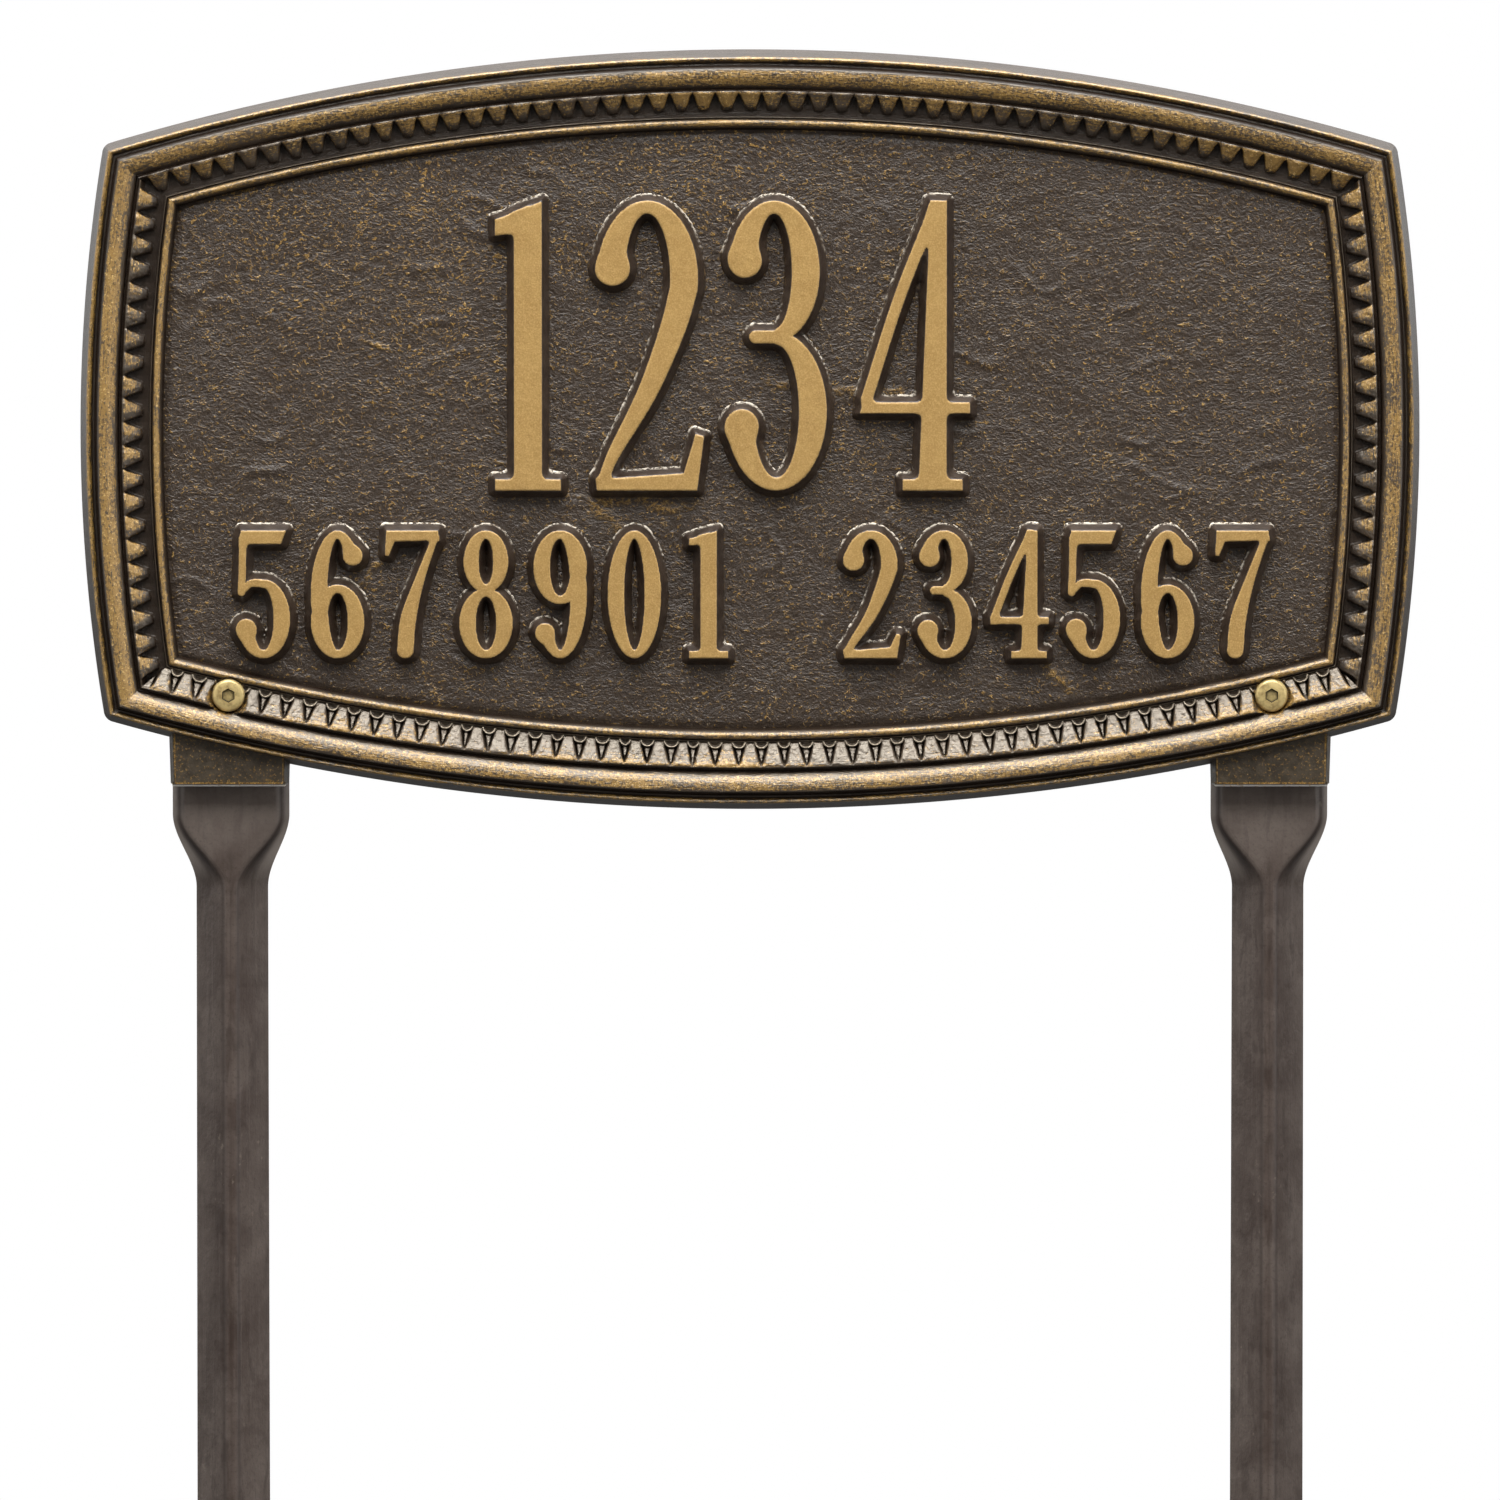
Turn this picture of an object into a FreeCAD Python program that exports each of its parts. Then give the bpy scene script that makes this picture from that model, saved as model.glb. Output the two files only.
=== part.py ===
"""Street name sign: a cast plaque on two folded ground stakes, each held by one screw, washer and nut.

Frame: +X right, +Z up, front towards -Y. The origin lies on the ground line, midway between the stakes,
in the plane where the back of the plaque meets the front of the stakes. A level is a height of the casting's
face above that plane, and an inset is a distance inwards from the edge of the plaque's back. All sizes are
in millimetres.
"""

import FreeCAD, Part
import math
import os

import Sketcher

SIZES = {
    # plaque outline: four arcs that meet at the corners
    "corner_half_width": 173.6,
    "corner_half_height": 77.3,
    "top_rise": 25.6,
    "bottom_rise": 24.1,
    "side_rise": 6.4,
    "plaque_height": 315.0,
    # frame moulding, from the outer edge inwards
    "edge_draft": 2.1,
    "edge_level": 8.8,
    "fillet_width": 1.7,
    "fillet_level": 9.6,
    "fillet_bevel": 0.4,
    "cove_width": 1.4,
    "cove_level": 8.2,
    "torus_width": 4.7,
    "torus_rise": 1.8,
    "torus_seat_level": 10.2,
    "scotia_width": 2.1,
    "band_width": 5.9,
    "band_level": 7.6,
    "quirk_width": 1.8,
    "quirk_level": 5.2,
    "bead_width": 2.1,
    "bead_level": 7.8,
    "bead_bevel": 0.5,
    # tooth band
    "tooth_pitch": 6.2,
    "tooth_width": 5.5,
    "tooth_length": 5.6,
    "tooth_shoulder": 2.0,
    "tooth_outer_level": 10.7,
    "tooth_inner_level": 8.7,
    "tooth_root": 0.4,
    "corner_gap": 14.6,
    "corner_tooth_inset": 15.0,
    # panel and hollow back
    "panel_level": 6.0,
    "panel_back_level": 2.0,
    "rim_width": 4.5,
    "rim_draft": 0.6,
    "torus_back_level": 5.4,
    # lugs, stake seats and locating ribs
    "lug_top_half_width": 16.5,
    "lug_bottom_half_width": 16.0,
    "lug_reach": 17.7,
    "lug_thickness": 6.6,
    "lug_draft_angle": 11.0,
    "seat_reach": 2.7,
    "seat_height": 22.0,
    "seat_level": 3.8,
    "rib_width": 3.0,
    "rib_depth": 3.2,
    "rib_height": 18.0,
    "rib_clearance": 0.4,
    # stakes
    "stake_inset": 33.6,
    "stake_gauge": 1.9,
    "ground_depth": 203.2,
    "head_half_width": 15.875,
    "head_web_half_width": 14.3,
    "head_depth": 6.0,
    "head_above_screw": 9.4,
    "head_below_lug": 8.0,
    "shoulder_length": 20.2,
    "blade_half_width": 9.7,
    "blade_crest_half_width": 1.55,
    "blade_depth": 12.0,
    "tip_half_width": 10.1,
    "point_length": 42.0,
    "point_half_width": 1.2,
    # fasteners
    "screw_rise": 7.0,
    "screw_diameter": 4.8,
    "screw_length": 16.0,
    "screw_clearance": 0.3,
    "spotface_diameter": 12.2,
    "spotface_level": 7.4,
    "screw_head_diameter": 9.0,
    "screw_head_height": 2.6,
    "screw_head_edge": 0.7,
    "socket_across_flats": 3.2,
    "socket_depth": 1.6,
    "thread_clearance": 0.05,
    "washer_diameter": 12.0,
    "washer_thickness": 1.2,
    "nut_across_flats": 8.0,
    "nut_thickness": 4.0,
}
TORUS_FLATS = 6
SHOULDER_STATIONS = 6
SHEET = "Sizes"


class Size:
    """A length, angle or count with its value now and the formula that ties it to the sheet."""

    def __init__(self, value, formula):
        self.value = float(value)
        self.formula = formula

    @staticmethod
    def of(item):
        return item if isinstance(item, Size) else Size(item, f"({item})")

    def joined(self, other, symbol, value):
        return Size(value, f"({self.formula} {symbol} {other.formula})")

    def __add__(self, other):
        other = Size.of(other)
        return self.joined(other, "+", self.value + other.value)

    def __sub__(self, other):
        other = Size.of(other)
        return self.joined(other, "-", self.value - other.value)

    def __mul__(self, other):
        other = Size.of(other)
        return self.joined(other, "*", self.value * other.value)

    def __truediv__(self, other):
        other = Size.of(other)
        return self.joined(other, "/", self.value / other.value)

    def __neg__(self):
        return Size(-self.value, f"(-{self.formula})")

    def __rsub__(self, other):
        return Size.of(other) - self


def arc_sine(ratio):
    return Size(math.degrees(math.asin(ratio.value)), f"(asin({ratio.formula}) / 1 deg)")


def arc_tangent(ratio):
    return Size(math.degrees(math.atan(ratio.value)), f"(atan({ratio.formula}) / 1 deg)")


def sine(degrees):
    return Size(math.sin(math.radians(degrees.value)), f"sin({degrees.formula})")


def cosine(degrees):
    return Size(math.cos(math.radians(degrees.value)), f"cos({degrees.formula})")


def whole(number):
    return Size(math.floor(number.value), f"floor({number.formula})")


def arc_radius(half_chord, rise):
    return (half_chord * half_chord + rise * rise) / (rise * 2)


def size(name):
    return Size(SIZES[name], f"{SHEET}.{name}")


class Side:
    """One side of the plaque: an arc that stands off the centre and rises between two corners."""

    def __init__(self, name, heading, half_chord, corner_offset, rise):
        self.name = name
        self.heading = heading
        self.half_chord = size(half_chord)
        self.radius = arc_radius(self.half_chord, size(rise))
        offset = size(corner_offset) + size(rise) - self.radius
        outwards_x, outwards_y = -round(math.sin(math.radians(heading))), round(math.cos(math.radians(heading)))
        self.centre = (offset * outwards_x, offset * outwards_y)


SIDES = (
    Side("top", 0, "corner_half_width", "corner_half_height", "top_rise"),
    Side("left", 90, "corner_half_height", "corner_half_width", "side_rise"),
    Side("bottom", 180, "corner_half_width", "corner_half_height", "bottom_rise"),
    Side("right", -90, "corner_half_height", "corner_half_width", "side_rise"),
)
CROWN = size("corner_half_height") + size("top_rise")

FILLET_INSET = size("edge_draft") + size("fillet_width")
COVE_INSET = FILLET_INSET + size("cove_width")
TORUS_INSET = COVE_INSET + size("torus_width")
BAND_INSET = TORUS_INSET + size("scotia_width")
QUIRK_INSET = BAND_INSET + size("band_width")
BEAD_INSET = QUIRK_INSET + size("quirk_width")
PANEL_INSET = BEAD_INSET + size("bead_width")
STAKE_OFFSET = size("corner_half_width") - size("stake_inset")
LUG_DROP = size("corner_half_height") + size("lug_reach")
SEAT_DROP = size("corner_half_height") + size("seat_reach")
SCREW_DROP = size("corner_half_height") - size("screw_rise")
LUG_BOTTOM = size("plaque_height") - LUG_DROP
SCREW_HEIGHT = size("plaque_height") - SCREW_DROP
SHOULDER_TOP = LUG_BOTTOM - size("head_below_lug")
WASHER_SEAT = size("stake_gauge")
NUT_SEAT = WASHER_SEAT + size("washer_thickness")


def add_sheet(doc):
    """The driving dimensions, one named cell each."""
    sheet = doc.addObject("Spreadsheet::Sheet", SHEET)
    for row, (name, value) in enumerate(SIZES.items(), start=1):
        sheet.set(f"A{row}", name.replace("_", " "))
        sheet.set(f"B{row}", str(value))
        sheet.setAlias(f"B{row}", name)
    doc.recompute()


def bind(item, path, value):
    item.setExpression(path, Size.of(value).formula)


def add_body(doc, name, x=0, y=0, z=0):
    """An empty body placed by formulas."""
    body = doc.addObject("PartDesign::Body", name)
    body.Label = name
    for axis, value in (("x", x), ("y", y), ("z", z)):
        bind(body, f"Placement.Base.{axis}", value)
    return body


def add_sketch(body, name, role, x=0, y=0, z=0, yaw=0, roll=0):
    """A sketch on one of the body's own planes, moved along and turned about that plane's axes."""
    sketch = body.newObject("Sketcher::SketchObject", name)
    plane = [feature for feature in body.Origin.OriginFeatures if feature.Role == role][0]
    sketch.AttachmentSupport = [(plane, "")]
    sketch.MapMode = "FlatFace"
    for path, value in (("Base.x", x), ("Base.y", y), ("Base.z", z), ("Rotation.Yaw", yaw), ("Rotation.Roll", roll)):
        bind(sketch, f"AttachmentOffset.{path}", value)
    return sketch


def dimension(sketch, kind, target, value):
    """A sketch dimension tied to its formula."""
    index = sketch.addConstraint(Sketcher.Constraint(kind, *target, value.value))
    bind(sketch, f"Constraints[{index}]", value)


def pin_point(sketch, edge, end, x, y):
    """Holds one end or centre of an edge at a place measured from the sketch's origin."""
    for kind, value, axis in (("DistanceX", x, -2), ("DistanceY", y, -1)):
        value = Size.of(value)
        if value.value == 0:
            sketch.addConstraint(Sketcher.Constraint("PointOnObject", edge, end, axis))
        else:
            dimension(sketch, kind, (-1, 1, edge, end), value)


def closed_line(sketch, corners):
    """A closed outline of straight edges through the corners."""
    points = [FreeCAD.Vector(Size.of(x).value, Size.of(y).value, 0) for x, y in corners]
    first_edge = sketch.GeometryCount
    for start, end in zip(points, points[1:] + points[:1]):
        sketch.addGeometry(Part.LineSegment(start, end))
    for number, (x, y) in enumerate(corners):
        edge = first_edge + number
        following = first_edge + (number + 1) % len(corners)
        sketch.addConstraint(Sketcher.Constraint("Coincident", edge, 2, following, 1))
        pin_point(sketch, edge, 1, x, y)


def add_circle(sketch, x, y, diameter):
    place = FreeCAD.Vector(Size.of(x).value, Size.of(y).value, 0)
    edge = sketch.addGeometry(Part.Circle(place, FreeCAD.Vector(0, 0, 1), diameter.value / 2))
    pin_point(sketch, edge, 3, x, y)
    dimension(sketch, "Radius", (edge,), diameter / 2)
    return edge


def add_hexagon(sketch, across_flats):
    """A hexagon about the sketch's origin, with two corners on its vertical axis."""
    radius = across_flats / math.sqrt(3)
    rim = add_circle(sketch, 0, 0, radius * 2)
    sketch.toggleConstruction(rim)
    turns = [math.radians(90 + 60 * corner) for corner in range(6)]
    points = [FreeCAD.Vector(math.cos(turn), math.sin(turn), 0) * radius.value for turn in turns]
    edges = [sketch.addGeometry(Part.LineSegment(points[i], points[(i + 1) % 6])) for i in range(6)]
    for number, edge in enumerate(edges):
        sketch.addConstraint(Sketcher.Constraint("Coincident", edge, 2, edges[(number + 1) % 6], 1))
        sketch.addConstraint(Sketcher.Constraint("PointOnObject", edge, 1, rim))
    for edge in edges[1:]:
        sketch.addConstraint(Sketcher.Constraint("Equal", edges[0], edge))
    sketch.addConstraint(Sketcher.Constraint("PointOnObject", edges[0], 1, -2))


def barrel_outline(sketch, inset=0):
    """The plaque's outline of four arcs, drawn inside its edge by the inset."""
    edges = []
    for side in SIDES:
        radius = side.radius - inset
        reach = math.asin((side.half_chord.value - Size.of(inset).value) / radius.value)
        middle = math.radians(side.heading + 90)
        circle = Part.Circle(
            FreeCAD.Vector(side.centre[0].value, side.centre[1].value, 0), FreeCAD.Vector(0, 0, 1), radius.value
        )
        edges.append(sketch.addGeometry(Part.ArcOfCircle(circle, middle - reach, middle + reach)))
    for edge, following, side in zip(edges, edges[1:] + edges[:1], SIDES):
        sketch.addConstraint(Sketcher.Constraint("Coincident", edge, 2, following, 1))
        x, y = side.centre
        pin_point(sketch, edge, 3, x if side.heading % 180 else 0, 0 if side.heading % 180 else y)
        dimension(sketch, "Radius", (edge,), side.radius - inset)


def add_feature(body, kind, name, profile, **settings):
    """A feature on a profile. Settings that are sizes are bound to their formulas."""
    feature = body.newObject(f"PartDesign::{kind}", name)
    feature.Profile = profile
    for key, value in settings.items():
        if isinstance(value, Size):
            bind(feature, key, value)
        else:
            setattr(feature, key, value)
    return feature


def torus_corners():
    """The half-round of the frame, as flats along half an ellipse."""
    corners = []
    for number in range(TORUS_FLATS + 1):
        turn = math.pi * number / TORUS_FLATS
        inset = COVE_INSET + size("torus_width") * ((1 - math.cos(turn)) / 2)
        corners.append((inset, size("torus_seat_level") + size("torus_rise") * math.sin(turn)))
    return corners


def moulding_corners():
    """The frame's section as (inset, level) pairs: over its face from the outer edge, back along its hollow rear."""
    bevel, bead_bevel = size("fillet_bevel"), size("bead_bevel")
    fillet, bead = size("fillet_level"), size("bead_level")
    return [
        (Size.of(0), Size.of(0)),
        (size("edge_draft"), size("edge_level")),
        (size("edge_draft") + bevel, fillet),
        (FILLET_INSET - bevel, fillet),
        (FILLET_INSET, size("cove_level")),
        (COVE_INSET, size("cove_level")),
        *torus_corners(),
        (TORUS_INSET, size("band_level")),
        (QUIRK_INSET, size("band_level")),
        (QUIRK_INSET, size("quirk_level")),
        (BEAD_INSET, size("quirk_level")),
        (BEAD_INSET, bead - bead_bevel),
        (BEAD_INSET + bead_bevel, bead),
        (PANEL_INSET - bead_bevel, bead),
        (PANEL_INSET, bead - bead_bevel),
        (PANEL_INSET, size("panel_back_level")),
        (BAND_INSET, size("panel_back_level")),
        (TORUS_INSET, size("torus_back_level")),
        (size("rim_width") + size("rim_draft"), size("torus_back_level")),
        (size("rim_width"), Size.of(0)),
    ]


def tooth(body, name, x, y, yaw):
    """One tooth of the band: a shield that is high at the torus and slopes down to its point at the panel."""
    fall = size("tooth_outer_level") - size("tooth_inner_level")
    slope = arc_tangent(fall / size("tooth_length"))
    length = size("tooth_length") / cosine(slope)
    depth = (size("tooth_outer_level") - size("band_level")) / cosine(slope) + size("tooth_root")
    half_width = size("tooth_width") / 2
    sketch = add_sketch(body, f"{name}_sketch", "XZ_Plane", x, y, size("tooth_outer_level"), yaw, slope)
    closed_line(
        sketch,
        [
            (half_width, Size.of(0)),
            (-half_width, Size.of(0)),
            (-half_width, -size("tooth_shoulder")),
            (Size.of(0), -length),
            (half_width, -size("tooth_shoulder")),
        ],
    )
    return add_feature(body, "Pad", name, sketch, Length=depth, Reversed=True)


def tooth_row(body, side):
    """The teeth along one side, spread evenly about the centre of its arc."""
    radius = side.radius - BAND_INSET
    span = (arc_sine(side.half_chord / side.radius) - size("corner_gap") / side.radius * math.degrees(1)) * 2
    count = whole(span * radius / math.degrees(1) / size("tooth_pitch") + 0.5) + 1
    start = side.heading - span / 2
    centre_x, centre_y = side.centre
    first = tooth(
        body, f"{side.name}_tooth", centre_x - sine(start) * radius, centre_y + cosine(start) * radius, start
    )
    centre = add_sketch(body, f"{side.name}_arc_centre", "XZ_Plane", centre_x, centre_y)
    row_arc = add_circle(centre, 0, 0, radius * 2)
    centre.toggleConstruction(row_arc)
    row = body.newObject("PartDesign::PolarPattern", f"{side.name}_tooth_row")
    row.Originals = [first]
    row.Axis = (centre, ["N_Axis"])
    row.Mode = "Extent"
    bind(row, "Angle", span)
    bind(row, "Occurrences", count)
    body.Tip = row


def corner_teeth(body):
    """One tooth on the mitre of each corner."""
    side_lean = arc_sine(size("corner_half_height") / SIDES[1].radius)
    for right in (-1, 1):
        for up, side in ((1, SIDES[0]), (-1, SIDES[2])):
            lean = arc_sine(size("corner_half_width") / side.radius)
            turn = (lean + 90 - side_lean) / 2
            inset = size("corner_tooth_inset")
            x = (size("corner_half_width") - inset * sine(turn)) * right
            y = (size("corner_half_height") - inset * cosine(turn)) * up
            yaw = -turn if up > 0 else turn - 180
            tooth(body, f"corner_tooth_{1 + right}_{1 + up}", x, y, yaw * right)


def tooth_band(doc):
    """All the teeth, as one body that the casting takes in."""
    body = add_body(doc, "tooth_band")
    corner_teeth(body)
    for side in SIDES:
        tooth_row(body, side)
    return body


def sign_plaque(doc):
    """The casting: panel, lugs, seats and ribs for the stakes, then moulded frame, tooth band and holes."""
    body = add_body(doc, "sign_plaque", z=size("plaque_height"))
    panel = add_sketch(body, "panel_outline", "XZ_Plane", z=size("panel_back_level"))
    barrel_outline(panel, BEAD_INSET)
    add_feature(body, "Pad", "panel", panel, Length=size("panel_level") - size("panel_back_level"))
    lugs_and_seats(body)
    edge = add_sketch(body, "edge_outline", "XZ_Plane")
    barrel_outline(edge)
    section = add_sketch(body, "moulding_section", "YZ_Plane")
    closed_line(section, [(-level, CROWN - inset) for inset, level in moulding_corners()])
    add_feature(body, "AdditivePipe", "moulding", section, Spine=(edge, []), Transition="Round corner")
    teeth = body.newObject("PartDesign::Boolean", "teeth")
    teeth.Type = "Fuse"
    teeth.addObject(tooth_band(doc))
    screw_holes(body)
    return body


def lugs_and_seats(body):
    """The blocks that show below the plaque, the seats behind the moulding, and the ribs beside the stakes."""
    lugs, seats, ribs = [add_sketch(body, f"{name}_outline", "XZ_Plane") for name in ("lug", "seat", "rib")]
    top, bottom = size("lug_top_half_width"), size("lug_bottom_half_width")
    seat_top = size("seat_height") - SEAT_DROP
    rib_inside = size("head_half_width") + size("rib_clearance")
    rib_outside = rib_inside + size("rib_width")
    for side in (-1, 1):
        middle = STAKE_OFFSET * side
        closed_line(
            lugs,
            [
                (middle - bottom, -LUG_DROP),
                (middle + bottom, -LUG_DROP),
                (middle + top, -SEAT_DROP),
                (middle - top, -SEAT_DROP),
            ],
        )
        closed_line(seats, rectangle(middle - rib_outside, middle + rib_outside, -SEAT_DROP, seat_top))
        for inner, outer in ((-rib_outside, -rib_inside), (rib_inside, rib_outside)):
            closed_line(ribs, rectangle(middle + inner, middle + outer, seat_top - size("rib_height"), seat_top))
    add_feature(body, "Pad", "seats", seats, Length=size("seat_level"))
    add_feature(body, "Pad", "lugs", lugs, Length=size("lug_thickness"), TaperAngle=size("lug_draft_angle"))
    add_feature(body, "Pad", "ribs", ribs, Length=size("rib_depth"), Reversed=True)


def rectangle(left, right, bottom, top):
    return [(left, bottom), (right, bottom), (right, top), (left, top)]


def screw_holes(body):
    """A clearance hole for each screw, with a spot face cut through the teeth for its head."""
    face_level = size("tooth_outer_level") + size("torus_rise")
    sketch = add_sketch(body, "screw_centres", "XZ_Plane", z=face_level)
    clearance_diameter = size("screw_diameter") + size("screw_clearance") * 2
    for side in (-1, 1):
        add_circle(sketch, STAKE_OFFSET * side, -SCREW_DROP, clearance_diameter)
    body.Document.recompute()
    add_feature(
        body, "Hole", "screw_holes", sketch, DepthType="ThroughAll", HoleCutType="Counterbore", Refine=False,
        Diameter=clearance_diameter, HoleCutDiameter=size("spotface_diameter"),
        HoleCutDepth=face_level - size("spotface_level"),
    )


def stake_section(body, name, level, web_half_width, half_width, depth):
    """The folded strip in plan: a flat web in front and two flanks that fall away behind it, one gauge thick."""
    sketch = add_sketch(body, name, "XY_Plane", z=level)
    run = half_width - web_half_width
    flank = Size(
        math.hypot(run.value, depth.value), f"sqrt({run.formula} * {run.formula} + {depth.formula} * {depth.formula})"
    )
    gauge = size("stake_gauge")
    edge = gauge * flank / depth
    fold = gauge * (flank - run) / depth
    closed_line(
        sketch,
        [
            (-web_half_width, Size.of(0)),
            (web_half_width, Size.of(0)),
            (half_width, depth),
            (half_width - edge, depth),
            (web_half_width - fold, gauge),
            (fold - web_half_width, gauge),
            (edge - half_width, depth),
            (-half_width, depth),
        ],
    )
    return sketch


def eased(start, end, fraction):
    """A size that leaves its start and meets its end smoothly."""
    share = fraction * fraction * (3 - 2 * fraction)
    return start + (end - start) * share


def ground_stake(doc, name, side):
    """One stake, folded from strip: a flat head, a shoulder where the folds run together, and a pointed blade."""
    body = add_body(doc, name, x=STAKE_OFFSET * side)
    head_web, head_edge, head_depth = size("head_web_half_width"), size("head_half_width"), size("head_depth")
    crest, blade_edge, blade_depth = size("blade_crest_half_width"), size("blade_half_width"), size("blade_depth")
    stations = []
    for number in range(SHOULDER_STATIONS):
        fraction = number / (SHOULDER_STATIONS - 1)
        stations.append(
            stake_section(
                body,
                f"shoulder_station_{number}",
                SHOULDER_TOP - size("shoulder_length") * fraction,
                eased(head_web, crest, fraction),
                eased(head_edge, blade_edge, fraction),
                eased(head_depth, blade_depth, fraction),
            )
        )
    add_feature(
        body, "Pad", "head", stations[0], Length=SCREW_HEIGHT + size("head_above_screw") - SHOULDER_TOP
    )
    add_feature(body, "AdditiveLoft", "shoulder", stations[0], Sections=stations[1:])
    foot = stake_section(body, "tip_section", -size("ground_depth"), crest, size("tip_half_width"), blade_depth)
    add_feature(body, "AdditiveLoft", "blade", stations[-1], Sections=[foot], Ruled=True)
    cut_point(body)
    hole = add_sketch(body, "screw_centre", "XZ_Plane")
    add_circle(hole, 0, SCREW_HEIGHT, size("screw_diameter") + size("screw_clearance") * 2)
    add_feature(body, "Pocket", "screw_hole", hole, Type="ThroughAll", Midplane=True)
    return body


def cut_point(body):
    """Cuts both flanks of the blade to a point on its crest."""
    outside = size("head_half_width")
    point = add_sketch(body, "point_outline", "XZ_Plane")
    tip, top = -size("ground_depth"), size("point_length") - size("ground_depth")
    start, end = size("tip_half_width"), size("point_half_width")
    closed_line(point, [(end, tip), (outside, tip), (outside, top), (start, top)])
    closed_line(point, [(-end, tip), (-start, top), (-outside, top), (-outside, tip)])
    add_feature(body, "Pocket", "point", point, Type="ThroughAll", Midplane=True)


def button_screw(doc, name, side):
    """A button-head screw with a hexagon socket. Its own origin is where the head meets the spot face."""
    body = add_body(doc, name, STAKE_OFFSET * side, -size("spotface_level"), SCREW_HEIGHT)
    profile = add_sketch(body, "turned_outline", "YZ_Plane")
    shank, head = size("screw_diameter") / 2, size("screw_head_diameter") / 2
    crown = size("socket_across_flats") / math.sqrt(3) + size("screw_head_edge")
    closed_line(
        profile,
        [
            (-size("screw_head_height"), Size.of(0)),
            (size("screw_length"), Size.of(0)),
            (size("screw_length"), shank),
            (Size.of(0), shank),
            (Size.of(0), head),
            (-size("screw_head_edge"), head),
            (-size("screw_head_height"), crown),
        ],
    )
    axis = (profile, ["H_Axis"])
    add_feature(body, "Revolution", "turned", profile, ReferenceAxis=axis)
    socket = add_sketch(body, "socket_outline", "XZ_Plane", z=size("screw_head_height"))
    add_hexagon(socket, size("socket_across_flats"))
    add_feature(body, "Pocket", "socket", socket, Length=size("socket_depth"))
    return body


def flat_washer(doc, name, side):
    """A flat washer behind the stake's web."""
    body = add_body(doc, name, STAKE_OFFSET * side, WASHER_SEAT, SCREW_HEIGHT)
    ring = add_sketch(body, "ring", "XZ_Plane")
    add_circle(ring, 0, 0, size("washer_diameter"))
    add_circle(ring, 0, 0, size("screw_diameter") + size("screw_clearance") * 2)
    add_feature(body, "Pad", "washer", ring, Length=size("washer_thickness"), Reversed=True)
    return body


def hex_nut(doc, name, side):
    """A hexagon nut behind the washer."""
    body = add_body(doc, name, STAKE_OFFSET * side, NUT_SEAT, SCREW_HEIGHT)
    outline = add_sketch(body, "nut_outline", "XZ_Plane")
    add_hexagon(outline, size("nut_across_flats"))
    add_circle(outline, 0, 0, size("screw_diameter") + size("thread_clearance") * 2)
    add_feature(body, "Pad", "nut", outline, Length=size("nut_thickness"), Reversed=True)
    return body


def check(doc, bodies):
    """Stops if any feature failed or any piece isn't one sound solid."""
    for item in doc.Objects:
        failed = [state for state in item.State if state in ("Invalid", "Error")]
        if failed:
            raise RuntimeError(f"{item.Name} is {failed}")
    for body in bodies:
        shape = body.Shape
        if shape.isNull() or not shape.isValid() or len(shape.Solids) != 1:
            raise RuntimeError(f"{body.Label} isn't one sound solid")


def main():
    doc = FreeCAD.newDocument("street_name_sign")
    add_sheet(doc)
    bodies = [sign_plaque(doc)]
    for name, side in (("left", -1), ("right", 1)):
        bodies.append(ground_stake(doc, f"{name}_stake", side))
        bodies.append(button_screw(doc, f"{name}_screw", side))
        bodies.append(flat_washer(doc, f"{name}_washer", side))
        bodies.append(hex_nut(doc, f"{name}_nut", side))
    doc.recompute()
    check(doc, bodies)
    os.makedirs("parts", exist_ok=True)
    for body in bodies:
        body.Shape.exportStep(os.path.join("parts", f"{body.Label}.step"))


main()
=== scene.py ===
"""Street name sign: a dry-brushed casting on two folded stakes. Shapes are worked out in millimetres.

Frame: +X right, +Z up, front towards -Y. A level is a height of the casting's face above the plane where it meets
the stakes, and an inset is a distance inwards from the edge of the plaque's back.
"""

import math

import bmesh
import bpy
import numpy as np
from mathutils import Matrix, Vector


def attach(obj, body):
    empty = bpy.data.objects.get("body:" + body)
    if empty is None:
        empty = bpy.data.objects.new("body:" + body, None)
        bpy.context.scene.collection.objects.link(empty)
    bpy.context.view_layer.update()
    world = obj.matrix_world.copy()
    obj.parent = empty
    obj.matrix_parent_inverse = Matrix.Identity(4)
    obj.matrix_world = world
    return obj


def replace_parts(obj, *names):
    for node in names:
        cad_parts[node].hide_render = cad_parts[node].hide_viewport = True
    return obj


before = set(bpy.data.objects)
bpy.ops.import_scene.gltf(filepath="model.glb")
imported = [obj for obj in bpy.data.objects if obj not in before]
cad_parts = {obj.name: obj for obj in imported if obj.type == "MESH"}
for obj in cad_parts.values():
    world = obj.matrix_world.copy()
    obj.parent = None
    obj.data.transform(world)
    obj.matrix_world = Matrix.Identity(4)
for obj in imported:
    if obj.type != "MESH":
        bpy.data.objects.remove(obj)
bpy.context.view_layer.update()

MM = 0.001
# plaque: half sizes to its corners, the rise of each arc, and insets and levels of its parts
PLAQUE_Z = 315
HALF_WIDTH, HALF_HEIGHT = 173.6, 77.3
TOP_RISE, BOTTOM_RISE, SIDE_RISE = 25.6, 24.1, 6.4
BAND_INSET, QUIRK_INSET, BEAD_INSET, PANEL_INSET, FRAME_INSET = 12, 18.3, 19.5, 21.8, 22
CORNER_RADIUS, EDGE_LEVEL = 3.2, 8.5
PANEL_LEVEL, BACK_LEVEL, FACE_LEVEL = 6, 2, 11.98
# tooth band
TOOTH_PITCH, TOOTH_LENGTH = 6.2, 6.9
TOOTH_LEVEL, TOOTH_GILDING = 11.9, 1.05
BAND_CELL_ACROSS, BAND_CELL_ALONG = 0.22, 0.25
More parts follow.
